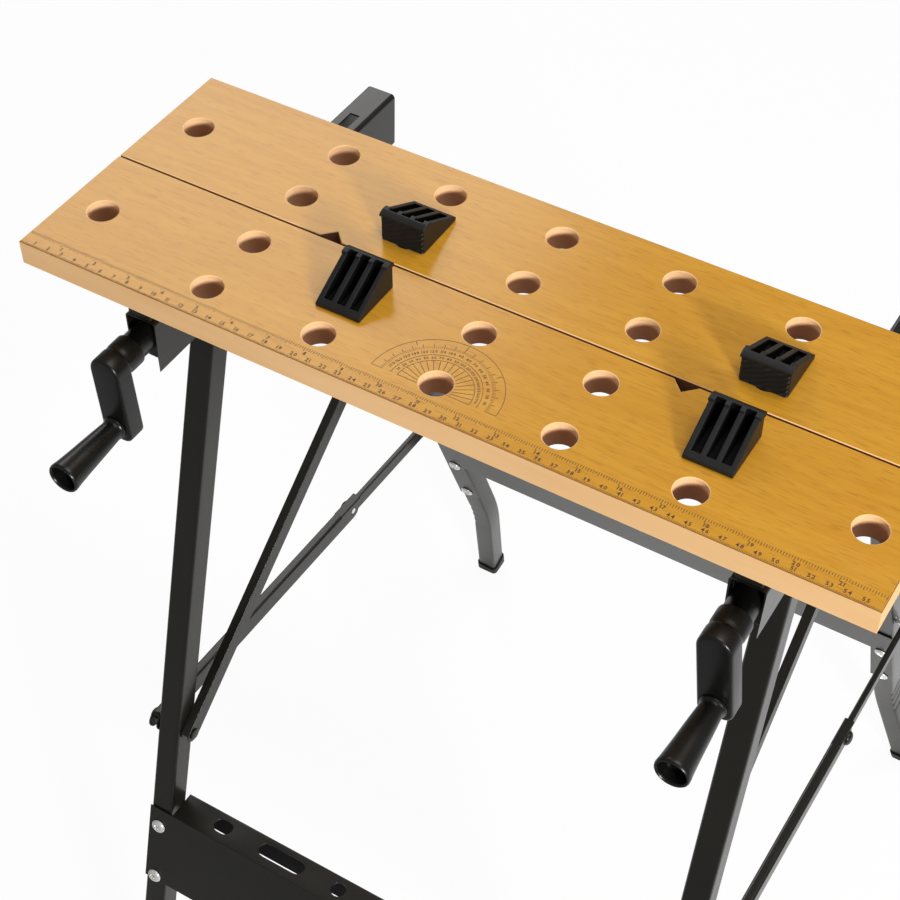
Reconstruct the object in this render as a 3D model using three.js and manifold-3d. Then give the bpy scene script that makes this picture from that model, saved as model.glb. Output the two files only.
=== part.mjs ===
import * as THREE from "three";
import { mergeVertices } from "three/addons/utils/BufferGeometryUtils.js";
import Module from "manifold-3d";

const wasm = await Module();
wasm.setup();

// Folding workbench with two clamping jaws. Millimetres and degrees, +Z up.
// X runs along the jaws, Y runs from the user's side to the back, Z = 0 is the floor.

// Jaws
const BENCH_HEIGHT = 800;
const JAW_LENGTH = 560;
const JAW_DEPTH = 98;
const JAW_THICKNESS = 18;
const JAW_GAP = 1.5;
const JAW_TRAVEL = 100;
const HOLE_DIAMETER = 20;
const HOLE_PITCH = 79.5;
const HOLE_SHIFT = 2.6;
const HOLES_PER_ROW = 5;
const HOLE_EDGE = 25;
const END_HOLE_INSET = 26;
const NOTCH_WIDTH = 16;
const NOTCH_DEPTH = 8;
const NOTCH_OFFSET = 120.8;

// Bench dogs, one pair in the second column of holes and one pair in the fifth
const DOG_COLUMNS = { left: 1, right: 4 };
const DOG_WIDTH = 30.5;
const DOG_DEPTH = 38.3;
const DOG_HEIGHT = 20.6;
const DOG_TOE_HEIGHT = 3.4;
const DOG_FACE_OFFSET = 9.4;
const DOG_LIP = 1.2;
const DOG_LIP_DROP = 1.9;
const DOG_CREST = 3.7;
const DOG_BAND = 8.7;
const DOG_BAND_DROP = 1.4;
const DOG_WALL = 4.2;
const DOG_SLOTS = 3;
const DOG_RIB = 3.9;
const DOG_SLOT_FLOOR = 3;
const DOG_SLOT_END = 4;
const DOG_PEG_LENGTH = 17;

// Channels under the jaws, with the blocks that carry the jaws
const FRAME_SPAN = 432;
const CHANNEL_INSET = 14;
const CHANNEL_LENGTH = 275;
const CHANNEL_HEIGHT = 41.5;
const CHANNEL_BEND = 3;
const SHEET = 1.3;
const SLOT_WIDTH = 7.5;
const BLOCK_HEIGHT = 21;
const BLOCK_INSET = 2.9;
const FRONT_BLOCK_LENGTH = 76;
const SLIDE_BLOCK_LENGTH = 84;

// Clamp screws, travelling nuts and cranks
const SCREW_DIAMETER = 9;
const SCREW_DROP = 16.5;
const SCREW_OVERRUN = 14;
const COLLAR_DIAMETER = 15;
const COLLAR_LENGTH = 4;
const NUT_LENGTH = 20;
const NUT_WALL = 2.5;
const TONGUE_LENGTH = 14;
const TONGUE_RISE = 9;
const END_PLATE_RECESS = 6;
const END_PLATE_RISE = 4.7;
const HUB_DIAMETER = 19;
const HUB_RING_DIAMETER = 22;
const HUB_RING_LENGTH = 13;
const HUB_REACH = 25;
const CRANK_RADIUS = 44;
const CRANK_ANGLES = { left: 2.6, right: 6.5 };
const ARM_WIDTH = 22;
const ARM_THICKNESS = 14;
const ARM_CORNER = 6;
const ARM_EDGE = 1.2;
const GRIP_LENGTH = 52;
const GRIP_BASE_DIAMETER = 14.6;
const GRIP_END_DIAMETER = 21.6;
const GRIP_COLLAR = 2;
const GRIP_RECESS_DEPTH = 9;
const GRIP_LIP = 2.2;
const GRIP_PIN_DIAMETER = 7;
const GRIP_PIN_HEAD = 11;
const GRIP_PIN_HEAD_HEIGHT = 2;

// Square-tube legs
const LEG_WIDTH = 19;
const LEG_DEPTH = 19.7;
const LEG_WALL = 1.5;
const LEG_CORNER = 2.5;
const LEG_SIDE_GAP = 0.5;
const LEG_TOP_GAP = 0.65;
const FRONT_PIVOT_Y = 85.1;
const FRONT_TILT = 14.95;
const FRONT_SPLAY = 1.09;
const REAR_PIVOT_Y = 224.5;
const REAR_TILT = 22.12;
const REAR_SPLAY = 0.66;
const REAR_BEND_HEIGHT = 153;
const REAR_BEND_LENGTH = 14;
const REAR_FOOT_TILT = 19.8;
const REAR_FOOT_SPLAY = 9;
const FOOT_HEIGHT = 15;
const FOOT_SOLE = 6;
const FOOT_WALL = 1.6;

// Step panel on the front legs and crossbar on the rear legs
const STEP_TOP = 280;
const STEP_HEIGHT = 78;
const STEP_FLANGE = 24;
const STEP_LIP = 21;
const STEP_SLOT_LENGTH = 41;
const STEP_SLOT_X = 107;
const STEP_OVAL_LENGTH = 16;
const STEP_OVAL_X = 162;
const STEP_HOLE_DIAMETER = 12;
const STEP_HOLE_X = 55;
const STEP_SCREW_INSET = 17.5;
const STEP_SCREW_PITCH = 56;
const BAR_TOP = 322;
const BAR_HEIGHT = 44;
const BAR_FLANGE = 12;
const BAR_TAB_HEIGHT = 118;
const BAR_SCREW_RISE = 10;
const BAR_SCREW_PITCH = 62;

// Struts, folding braces and the pins they turn on
const LINK_SHEET = 1.2;
const LOW_PIVOT_HEIGHT = 360;
const STRUT_REACH = 139.9;
const STRUT_WIDTH = 7;
const STRUT_HEIGHT = 14;
const BRACE_REACH = 418;
const BRACE_WIDTH = 8;
const BRACE_HEIGHT = 16;
const BRACE_FRONT_LENGTH = 262;
const BRACE_NOSE = 10;
const BRACE_TAIL = 11;
const BRACE_REAR_HEIGHT = 12;
const LINK_GAP = 0.5;
const BOLT_DIAMETER = 6;
const BOLT_HEAD_DIAMETER = 12;
const BOLT_HEAD_HEIGHT = 3.5;
const BOLT_NUT_WIDTH = 10;
const BOLT_NUT_HEIGHT = 4;
const PANEL_SCREW_DIAMETER = 4;
const PANEL_SCREW_HEAD = 12;
const PANEL_SCREW_HEAD_HEIGHT = 3;
const PANEL_SCREW_LENGTH = 9;

// Clearances
const SEAT_GAP = 0.2;
const RUN_GAP = 0.15;
const HOLE_GAP = 0.3;

// Facets, and how far a cutter runs past what it cuts
const ROUND_STEPS = 16;
const PIN_STEPS = 12;
const ARC_STEPS = 4;
const TUBE_CORNER_STEPS = 2;
const BORE_CORNER_STEPS = 1;
const CUT = 5;

// Places that follow from the sizes above
const SIDES = [["left", -1], ["right", 1]];
const tangent = (degrees) => Math.tan(THREE.MathUtils.degToRad(degrees));
const boardBottom = BENCH_HEIGHT - JAW_THICKNESS;
const webTop = boardBottom - BLOCK_HEIGHT;
const flangeBottom = webTop - CHANNEL_HEIGHT;
const screwZ = webTop - SCREW_DROP;
const nutBottom = screwZ - SCREW_DIAMETER / 2 - NUT_WALL;
const pivotZ = nutBottom - LEG_TOP_GAP - LEG_DEPTH / 2;
const channelInner = LEG_WIDTH + 2 * LEG_SIDE_GAP;
const channelWidth = channelInner + 2 * SHEET;
const channelX = (FRAME_SPAN - channelWidth) / 2;
const rearJawY = JAW_DEPTH + JAW_GAP;
const nutY = rearJawY + JAW_DEPTH / 2;
const endPlateY = CHANNEL_INSET + END_PLATE_RECESS;
const hubFront = CHANNEL_INSET - HUB_REACH;
const boltRadius = BOLT_DIAMETER / 2;
const frontDrop = pivotZ - LOW_PIVOT_HEIGHT;

const frontDirection = (side) =>
  new THREE.Vector3(side * tangent(FRONT_SPLAY), -tangent(FRONT_TILT), -1);
const rearDirection = (side) =>
  new THREE.Vector3(side * tangent(REAR_SPLAY), tangent(REAR_TILT), -1);
const rearFootDirection = (side) =>
  new THREE.Vector3(side * tangent(REAR_FOOT_SPLAY), tangent(REAR_FOOT_TILT), -1);
const frontPivot = (side) => new THREE.Vector3(side * channelX, FRONT_PIVOT_Y, pivotZ);
const rearPivot = (side) => new THREE.Vector3(side * channelX, REAR_PIVOT_Y, pivotZ);

// Materials
function paint(color, roughness, metalness) {
  return new THREE.MeshStandardMaterial({ color, roughness, metalness });
}
const beech = () => paint(0xd9a04e, 0.5, 0);
const blackSteel = () => paint(0x24231f, 0.45, 0.2);
const blackPlastic = () => paint(0x1b1b1a, 0.5, 0);
const glossBlack = () => paint(0x121212, 0.25, 0);
const zinc = () => paint(0xc9ccd0, 0.3, 0.9);

// Solids: closed three.js geometry goes in, joined and cut geometry comes out
function solid(geometry) {
  geometry.deleteAttribute("normal");
  geometry.deleteAttribute("uv");
  const merged = mergeVertices(geometry, 1e-4);
  return new wasm.Manifold(new wasm.Mesh({
    numProp: 3,
    vertProperties: new Float32Array(merged.attributes.position.array),
    triVerts: new Uint32Array(merged.index.array),
  }));
}

function piece(name, body, material) {
  const { vertProperties, triVerts } = body.getMesh();
  const geometry = new THREE.BufferGeometry();
  geometry.setAttribute("position", new THREE.BufferAttribute(new Float32Array(vertProperties), 3));
  geometry.setIndex(new THREE.BufferAttribute(new Uint32Array(triVerts), 1));
  geometry.computeVertexNormals();
  const mesh = new THREE.Mesh(geometry, material);
  mesh.name = name;
  return mesh;
}

function block([x0, x1], [y0, y1], [z0, z1]) {
  const geometry = new THREE.BoxGeometry(x1 - x0, y1 - y0, z1 - z0);
  geometry.translate((x0 + x1) / 2, (y0 + y1) / 2, (z0 + z1) / 2);
  return solid(geometry);
}

function rod(axis, radius, [from, to], [a, b], steps = PIN_STEPS) {
  const geometry = new THREE.CylinderGeometry(radius, radius, to - from, steps);
  const middle = (from + to) / 2;
  if (axis === "x") {
    geometry.rotateZ(-Math.PI / 2);
    geometry.translate(middle, a, b);
  } else if (axis === "y") {
    geometry.translate(a, middle, b);
  } else {
    geometry.rotateX(Math.PI / 2);
    geometry.translate(a, b, middle);
  }
  return solid(geometry);
}

// A profile of [radius, height] points turned about the Y axis
function turned(profile, steps) {
  const points = profile.map(([radius, height]) => new THREE.Vector2(radius, height));
  return new THREE.LatheGeometry(points, steps);
}

// Shapes drawn in XZ and drawn out along +Y, or drawn in YZ and drawn out along +X
const plain = { bevelEnabled: false, curveSegments: ARC_STEPS };
function extrudeY(shape, length, options = {}) {
  const geometry = new THREE.ExtrudeGeometry(shape, { ...plain, depth: length, ...options });
  geometry.rotateX(Math.PI / 2);
  geometry.translate(0, length, 0);
  return geometry;
}

function extrudeX(shape, [from, to]) {
  const geometry = new THREE.ExtrudeGeometry(shape, { ...plain, depth: to - from });
  const [x, y, z] = [new THREE.Vector3(0, 1, 0), new THREE.Vector3(0, 0, 1), new THREE.Vector3(1, 0, 0)];
  geometry.applyMatrix4(new THREE.Matrix4().makeBasis(x, y, z));
  geometry.translate(from, 0, 0);
  return solid(geometry);
}

function outline(points) {
  return new THREE.Shape(points.map(([x, y]) => new THREE.Vector2(x, y)));
}

function roundedRectangle(width, height, corner) {
  const [x, y] = [width / 2 - corner, height / 2 - corner];
  const shape = new THREE.Shape();
  shape.absarc(x, y, corner, 0, Math.PI / 2);
  shape.absarc(-x, y, corner, Math.PI / 2, Math.PI);
  shape.absarc(-x, -y, corner, Math.PI, 1.5 * Math.PI);
  shape.absarc(x, -y, corner, 1.5 * Math.PI, 2 * Math.PI);
  return shape;
}

function stadium(from, to, radius) {
  const shape = new THREE.Shape();
  shape.absarc(from, 0, radius, Math.PI / 2, 1.5 * Math.PI);
  shape.absarc(to, 0, radius, -Math.PI / 2, Math.PI / 2);
  return shape;
}

// A square tube's section swept through stations, each a point and a direction
function sweep(stations, width, depth, corner, cornerSteps) {
  const section = roundedRectangle(width, depth, corner).extractPoints(cornerSteps).shape;
  const across = new THREE.Vector3(1, 0, 0);
  const rings = stations.map(({ point, direction }) => {
    const along = direction.clone().normalize();
    const front = new THREE.Vector3().crossVectors(along, across).normalize();
    const sideways = new THREE.Vector3().crossVectors(front, along);
    return section.map((p) => point.clone().addScaledVector(sideways, p.x).addScaledVector(front, p.y));
  });
  const count = section.length;
  const positions = rings.flat().flatMap((p) => [p.x, p.y, p.z]);
  const index = [];
  for (let ring = 0; ring + 1 < rings.length; ring += 1) {
    for (let i = 0; i < count; i += 1) {
      const next = (i + 1) % count;
      const [a, b] = [ring * count + i, ring * count + next];
      index.push(a, b, b + count, a, b + count, a + count);
    }
  }
  const last = (rings.length - 1) * count;
  for (let i = 1; i + 1 < count; i += 1) {
    index.push(0, i + 1, i);
    index.push(last, last + i, last + i + 1);
  }
  const geometry = new THREE.BufferGeometry();
  geometry.setAttribute("position", new THREE.BufferAttribute(new Float32Array(positions), 3));
  geometry.setIndex(index);
  return solid(geometry);
}

function straight(start, direction, [from, to]) {
  const at = (drop) => ({ point: start.clone().addScaledVector(direction, drop), direction });
  return [at(from), at(to)];
}

// Jaws
const firstColumn = HOLE_SHIFT - HOLE_PITCH * (HOLES_PER_ROW - 1) / 2;
const holeColumns = Array.from({ length: HOLES_PER_ROW }, (_, i) => firstColumn + i * HOLE_PITCH);

function jaw(notchX, notchEdge) {
  const half = JAW_LENGTH / 2;
  const board = outline([[-half, 0], [half, 0], [half, JAW_DEPTH], [-half, JAW_DEPTH]]);
  const endX = half - END_HOLE_INSET;
  const centres = [[-endX, JAW_DEPTH / 2], [endX, JAW_DEPTH / 2]];
  for (const x of holeColumns) {
    centres.push([x, HOLE_EDGE], [x, JAW_DEPTH - HOLE_EDGE]);
  }
  for (const [x, y] of centres) {
    const hole = new THREE.Path();
    hole.absarc(x, y, HOLE_DIAMETER / 2, 0, 2 * Math.PI, true);
    board.holes.push(hole);
  }
  const options = { ...plain, depth: JAW_THICKNESS, curveSegments: ROUND_STEPS / 2 };
  const inward = notchEdge > 0 ? -1 : 1;
  const notch = outline([
    [notchX - NOTCH_WIDTH / 2, notchEdge],
    [notchX, notchEdge + inward * NOTCH_DEPTH],
    [notchX + NOTCH_WIDTH / 2, notchEdge],
    [notchX, notchEdge - inward * NOTCH_DEPTH],
  ]);
  const cutter = new THREE.ExtrudeGeometry(notch, { ...plain, depth: JAW_THICKNESS + 2 * CUT });
  cutter.translate(0, 0, -CUT);
  return solid(new THREE.ExtrudeGeometry(board, options)).subtract(solid(cutter));
}

// A dog's origin is on its peg's axis at the jaw's face, with the tall gripping face towards +Y
function dog() {
  const toe = DOG_FACE_OFFSET - DOG_DEPTH;
  const face = DOG_FACE_OFFSET - DOG_LIP;
  const lipZ = DOG_HEIGHT - DOG_LIP_DROP;
  const wedge = outline([
    [toe, SEAT_GAP],
    [face, SEAT_GAP],
    [face, lipZ - 2 * DOG_LIP],
    [DOG_FACE_OFFSET, lipZ],
    [DOG_FACE_OFFSET - DOG_CREST, DOG_HEIGHT],
    [DOG_FACE_OFFSET - DOG_BAND, DOG_HEIGHT - DOG_BAND_DROP],
    [toe, DOG_TOE_HEIGHT],
  ]);
  const slotWidth = (DOG_WIDTH - (DOG_SLOTS + 1) * DOG_RIB) / DOG_SLOTS;
  const pocket = outline([
    [toe + DOG_SLOT_END, DOG_SLOT_FLOOR],
    [DOG_FACE_OFFSET - DOG_WALL, DOG_SLOT_FLOOR],
    [DOG_FACE_OFFSET - DOG_WALL, DOG_HEIGHT + CUT],
    [toe + DOG_SLOT_END, DOG_HEIGHT + CUT],
  ]);
  let body = extrudeX(wedge, [-DOG_WIDTH / 2, DOG_WIDTH / 2]);
  for (let i = 0; i < DOG_SLOTS; i += 1) {
    const x = -DOG_WIDTH / 2 + DOG_RIB + i * (slotWidth + DOG_RIB);
    body = body.subtract(extrudeX(pocket, [x, x + slotWidth]));
  }
  const pegRadius = HOLE_DIAMETER / 2 - HOLE_GAP;
  return body.add(rod("z", pegRadius, [-DOG_PEG_LENGTH, 2 * SEAT_GAP], [0, 0], ROUND_STEPS));
}

// Channels: an inverted U of folded sheet, slotted for the jaw's tongue and drilled for the leg bolts
function channelSection() {
  const [outer, inner] = [channelWidth / 2, channelInner / 2];
  const innerBend = CHANNEL_BEND - SHEET;
  const shape = new THREE.Shape();
  shape.moveTo(outer, -CHANNEL_HEIGHT);
  shape.absarc(outer - CHANNEL_BEND, -CHANNEL_BEND, CHANNEL_BEND, 0, Math.PI / 2);
  shape.absarc(-outer + CHANNEL_BEND, -CHANNEL_BEND, CHANNEL_BEND, Math.PI / 2, Math.PI);
  shape.lineTo(-outer, -CHANNEL_HEIGHT);
  shape.lineTo(-inner, -CHANNEL_HEIGHT);
  shape.absarc(-inner + innerBend, -CHANNEL_BEND, innerBend, Math.PI, Math.PI / 2, true);
  shape.absarc(inner - innerBend, -CHANNEL_BEND, innerBend, Math.PI / 2, 0, true);
  shape.lineTo(inner, -CHANNEL_HEIGHT);
  return shape;
}

function channel() {
  const body = solid(extrudeY(channelSection(), CHANNEL_LENGTH).translate(0, CHANNEL_INSET, webTop));
  const reach = channelWidth / 2 + CUT;
  const hole = boltRadius + RUN_GAP;
  const slotEnd = TONGUE_LENGTH / 2 + SEAT_GAP + RUN_GAP;
  const slot = block(
    [-SLOT_WIDTH / 2, SLOT_WIDTH / 2],
    [nutY - slotEnd, nutY + JAW_TRAVEL + slotEnd],
    [webTop - CUT, webTop + CUT],
  );
  return body
    .subtract(rod("x", hole, [-reach, reach], [FRONT_PIVOT_Y, pivotZ]))
    .subtract(rod("x", hole, [-reach, reach], [REAR_PIVOT_Y, pivotZ]))
    .subtract(slot);
}

function endPlate() {
  const half = channelInner / 2 - SEAT_GAP;
  const plate = block(
    [-half, half],
    [endPlateY, endPlateY + SHEET],
    [flangeBottom + END_PLATE_RISE, webTop - CHANNEL_BEND],
  );
  const hole = SCREW_DIAMETER / 2 + HOLE_GAP;
  return plate.subtract(rod("y", hole, [endPlateY - CUT, endPlateY + SHEET + CUT], [0, screwZ]));
}

const blockHalf = channelWidth / 2 - BLOCK_INSET;
function frontBlock() {
  return block(
    [-blockHalf, blockHalf],
    [CHANNEL_INSET, CHANNEL_INSET + FRONT_BLOCK_LENGTH],
    [webTop + SEAT_GAP, boardBottom - SEAT_GAP],
  );
}

function slideBlock() {
  const body = block(
    [-blockHalf, blockHalf],
    [nutY - SLIDE_BLOCK_LENGTH / 2, nutY + SLIDE_BLOCK_LENGTH / 2],
    [webTop + SEAT_GAP, boardBottom - SEAT_GAP],
  );
  const halfWidth = SLOT_WIDTH / 2;
  const halfLength = TONGUE_LENGTH / 2 + SEAT_GAP;
  const pocketTop = webTop + TONGUE_RISE + SEAT_GAP;
  return body.subtract(block(
    [-halfWidth, halfWidth],
    [nutY - halfLength, nutY + halfLength],
    [webTop - CUT, pocketTop],
  ));
}

// The nut hangs below the web, with a tongue that stands up through the slot into the slide block
function travellingNut() {
  const half = channelInner / 2 - LEG_SIDE_GAP;
  const body = block(
    [-half, half],
    [nutY - NUT_LENGTH / 2, nutY + NUT_LENGTH / 2],
    [nutBottom, webTop - CHANNEL_BEND - SEAT_GAP],
  );
  const tongueHalf = SLOT_WIDTH / 2 - SEAT_GAP;
  const tongue = block(
    [-tongueHalf, tongueHalf],
    [nutY - TONGUE_LENGTH / 2, nutY + TONGUE_LENGTH / 2],
    [screwZ, webTop + TONGUE_RISE],
  );
  const bore = rod(
    "y",
    SCREW_DIAMETER / 2 + HOLE_GAP,
    [nutY - NUT_LENGTH, nutY + NUT_LENGTH],
    [0, screwZ],
  );
  return body.add(tongue).subtract(bore);
}

// Crank parts share an origin on the screw's axis at the front face of the end plate
const socketDepth = HUB_REACH / 2;
function clampScrew() {
  const end = nutY + JAW_TRAVEL + NUT_LENGTH / 2 + SCREW_OVERRUN - endPlateY;
  const collarStart = SHEET + SEAT_GAP;
  const shaft = rod("y", SCREW_DIAMETER / 2, [SEAT_GAP - socketDepth, end], [0, 0]);
  return shaft.add(rod("y", COLLAR_DIAMETER / 2, [collarStart, collarStart + COLLAR_LENGTH], [0, 0]));
}

const armBack = hubFront - endPlateY;
const armFront = armBack - ARM_THICKNESS;
const gripBase = armFront - SEAT_GAP;
const gripEnd = armFront - GRIP_LENGTH;
const recessFloor = gripEnd + GRIP_RECESS_DEPTH;
// Round over the hub, squarer below the grip, drawn inside its bevel
function armShape() {
  const half = ARM_WIDTH / 2 - ARM_EDGE;
  const corner = ARM_CORNER - ARM_EDGE;
  const [side, foot] = [half - corner, corner - half - CRANK_RADIUS];
  const shape = new THREE.Shape();
  shape.absarc(0, 0, half, 0, Math.PI, false);
  shape.absarc(-side, foot, corner, Math.PI, 1.5 * Math.PI, false);
  shape.absarc(side, foot, corner, 1.5 * Math.PI, 2 * Math.PI, false);
  return shape;
}

function crank() {
  const bevel = {
    bevelEnabled: true,
    bevelThickness: ARM_EDGE,
    bevelSize: ARM_EDGE,
    bevelSegments: 1,
    curveSegments: PIN_STEPS / 2,
  };
  const core = extrudeY(armShape(), ARM_THICKNESS - 2 * ARM_EDGE, bevel);
  core.translate(0, armFront + ARM_EDGE, 0);
  const hub = rod("y", HUB_DIAMETER / 2, [armBack - ARM_EDGE, -SEAT_GAP], [0, 0], ROUND_STEPS);
  const ringSpan = [armBack - ARM_EDGE, armBack + HUB_RING_LENGTH];
  const ring = rod("y", HUB_RING_DIAMETER / 2, ringSpan, [0, 0], ROUND_STEPS);
  const socket = rod("y", SCREW_DIAMETER / 2 + SEAT_GAP, [-socketDepth, CUT], [0, 0]);
  const headTop = recessFloor - SEAT_GAP;
  const pin = rod("y", GRIP_PIN_DIAMETER / 2, [headTop, armFront + ARM_EDGE], [0, -CRANK_RADIUS]);
  const head = rod("y", GRIP_PIN_HEAD / 2, [headTop - GRIP_PIN_HEAD_HEIGHT, headTop], [0, -CRANK_RADIUS]);
  return solid(core).add(hub).add(ring).add(pin).add(head).subtract(socket);
}

// The tapered grip turns on the crank's pin, and its far end is dished
function crankGrip() {
  const [base, end] = [GRIP_BASE_DIAMETER / 2, GRIP_END_DIAMETER / 2];
  const bore = GRIP_PIN_DIAMETER / 2 + RUN_GAP;
  const dish = end - GRIP_LIP;
  const geometry = turned([
    [bore, gripBase],
    [bore, recessFloor],
    [dish, recessFloor],
    [dish, gripEnd + GRIP_LIP / 2],
    [end - GRIP_LIP / 2, gripEnd],
    [end, gripEnd + GRIP_LIP],
    [base, gripBase - 2 * GRIP_COLLAR],
    [base + GRIP_COLLAR / 2, gripBase - GRIP_COLLAR],
    [base + GRIP_COLLAR / 2, gripBase],
    [bore, gripBase],
  ], ROUND_STEPS);
  return geometry.translate(0, 0, -CRANK_RADIUS);
}

// Legs hang from the bolts in the channels, with rounded tops and caps on their feet
const boreCorner = LEG_CORNER - LEG_WALL;
function tubeLeg(outer, inner) {
  const half = LEG_WIDTH / 2;
  const cap = rod("x", LEG_DEPTH / 2, [-half, half], [0, 0], ROUND_STEPS);
  const hole = rod("x", boltRadius + HOLE_GAP, [-LEG_WIDTH, LEG_WIDTH], [0, 0]);
  const tube = sweep(outer, LEG_WIDTH, LEG_DEPTH, LEG_CORNER, TUBE_CORNER_STEPS).add(cap);
  const [boreWidth, boreDepth] = [LEG_WIDTH - 2 * LEG_WALL, LEG_DEPTH - 2 * LEG_WALL];
  const bore = sweep(inner, boreWidth, boreDepth, boreCorner, BORE_CORNER_STEPS);
  return tube.subtract(bore).subtract(hole);
}

function footCap(start, direction, floorDrop) {
  const cup = sweep(
    straight(start, direction, [floorDrop - FOOT_HEIGHT, floorDrop + FOOT_HEIGHT]),
    LEG_WIDTH + 2 * FOOT_WALL,
    LEG_DEPTH + 2 * FOOT_WALL,
    LEG_CORNER + FOOT_WALL,
    TUBE_CORNER_STEPS,
  );
  const seat = sweep(
    straight(start, direction, [floorDrop - 2 * FOOT_HEIGHT, floorDrop - FOOT_SOLE + SEAT_GAP]),
    LEG_WIDTH + 2 * SEAT_GAP,
    LEG_DEPTH + 2 * SEAT_GAP,
    LEG_CORNER,
    TUBE_CORNER_STEPS,
  );
  const reach = JAW_LENGTH;
  const below = block([-reach, reach], [-2 * reach, 2 * reach], [-pivotZ - reach, -pivotZ]);
  return cup.subtract(seat).subtract(below);
}

const origin = new THREE.Vector3();
const legEnd = pivotZ - FOOT_SOLE;
const clearOfEnd = LEG_DEPTH;

// The low bolt's hole and the panel screws' holes run through the front leg's walls
function frontLeg(side) {
  const direction = frontDirection(side);
  const leg = tubeLeg(
    straight(origin, direction, [0, legEnd]),
    straight(origin, direction, [-clearOfEnd, legEnd + clearOfEnd]),
  );
  const low = direction.clone().multiplyScalar(frontDrop);
  const reach = [low.x - LEG_WIDTH, low.x + LEG_WIDTH];
  let body = leg.subtract(rod("x", boltRadius + RUN_GAP, reach, [low.y, low.z]));
  for (const height of stepScrewHeights) {
    body = body.subtract(panelScrewHole(direction, pivotZ - height));
  }
  return body;
}

function rearLegStations(side, from, to) {
  const [upper, lower] = [rearDirection(side), rearFootDirection(side)];
  const bendDrop = pivotZ - REAR_BEND_HEIGHT;
  const bend = upper.clone().multiplyScalar(bendDrop);
  const before = bend.clone().addScaledVector(upper, -REAR_BEND_LENGTH);
  const after = bend.clone().addScaledVector(lower, REAR_BEND_LENGTH);
  const middle = new THREE.QuadraticBezierCurve3(before, bend, after).getPoint(0.5);
  const halfway = upper.clone().add(lower);
  return [
    { point: upper.clone().multiplyScalar(from), direction: upper },
    { point: before, direction: upper },
    { point: middle, direction: halfway },
    { point: after, direction: lower },
    { point: bend.clone().addScaledVector(lower, to - bendDrop), direction: lower },
  ];
}

function rearLeg(side) {
  const direction = rearDirection(side);
  let body = tubeLeg(
    rearLegStations(side, 0, legEnd),
    rearLegStations(side, -clearOfEnd, legEnd + clearOfEnd),
  );
  for (const height of barScrewHeights) {
    body = body.subtract(panelScrewHole(direction, pivotZ - height));
  }
  return body;
}

function rearFoot(side) {
  const [upper, lower] = [rearDirection(side), rearFootDirection(side)];
  const bendDrop = pivotZ - REAR_BEND_HEIGHT;
  const start = upper.multiplyScalar(bendDrop).addScaledVector(lower, -bendDrop);
  return footCap(start, lower, pivotZ);
}

// Panels lie on the legs' front faces: the point on a face at a drop below the pivot, and its tilt
function faceFrame(direction, drop) {
  const along = direction.clone().normalize();
  const forward = new THREE.Vector3().crossVectors(along, new THREE.Vector3(1, 0, 0)).normalize();
  const point = direction.clone().multiplyScalar(drop).addScaledVector(forward, LEG_DEPTH / 2);
  return { point, tilt: Math.atan2(direction.y, -direction.z) };
}

const stepTilt = -THREE.MathUtils.degToRad(FRONT_TILT);
const barTilt = THREE.MathUtils.degToRad(REAR_TILT);
const stepScrewHeights = [STEP_SCREW_INSET, STEP_SCREW_INSET + STEP_SCREW_PITCH]
  .map((inset) => STEP_TOP - inset * Math.cos(stepTilt));
const barBottom = BAR_TOP - BAR_TAB_HEIGHT * Math.cos(barTilt);
const barScrewHeights = [BAR_SCREW_RISE, BAR_SCREW_RISE + BAR_SCREW_PITCH]
  .map((rise) => barBottom + rise * Math.cos(barTilt));

function place(geometry, tilt, point) {
  geometry.rotateX(tilt);
  geometry.translate(point.x, point.y, point.z);
  return solid(geometry);
}

function panelScrewHole(direction, drop) {
  const { point, tilt } = faceFrame(direction, drop);
  const radius = PANEL_SCREW_DIAMETER / 2 + RUN_GAP;
  const geometry = new THREE.CylinderGeometry(radius, radius, LEG_DEPTH, PIN_STEPS);
  return place(geometry, tilt, point);
}

// A domed screw: its origin is on the panel's front face, and its shank runs into the leg along +Y
function panelScrew() {
  const [head, shank] = [PANEL_SCREW_HEAD / 2, PANEL_SCREW_DIAMETER / 2];
  const geometry = turned([
    [0, -PANEL_SCREW_LENGTH],
    [shank, -PANEL_SCREW_LENGTH],
    [shank, SEAT_GAP],
    [head, SEAT_GAP],
    [head, PANEL_SCREW_HEAD_HEIGHT / 2],
    [head / 2, PANEL_SCREW_HEAD_HEIGHT],
    [0, PANEL_SCREW_HEAD_HEIGHT],
  ], PIN_STEPS);
  return geometry.rotateX(Math.PI);
}

// A leg's outer edge in a panel's own plane, at a distance below the pivot measured along the face
function legEdge(direction, faceDrop) {
  const slant = Math.hypot(direction.y, direction.z);
  const along = direction.clone().normalize();
  const sideways = Math.hypot(along.y, along.z);
  return channelX + Math.abs(direction.x) * (faceDrop / slant) + (LEG_WIDTH / 2) / sideways;
}

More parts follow.
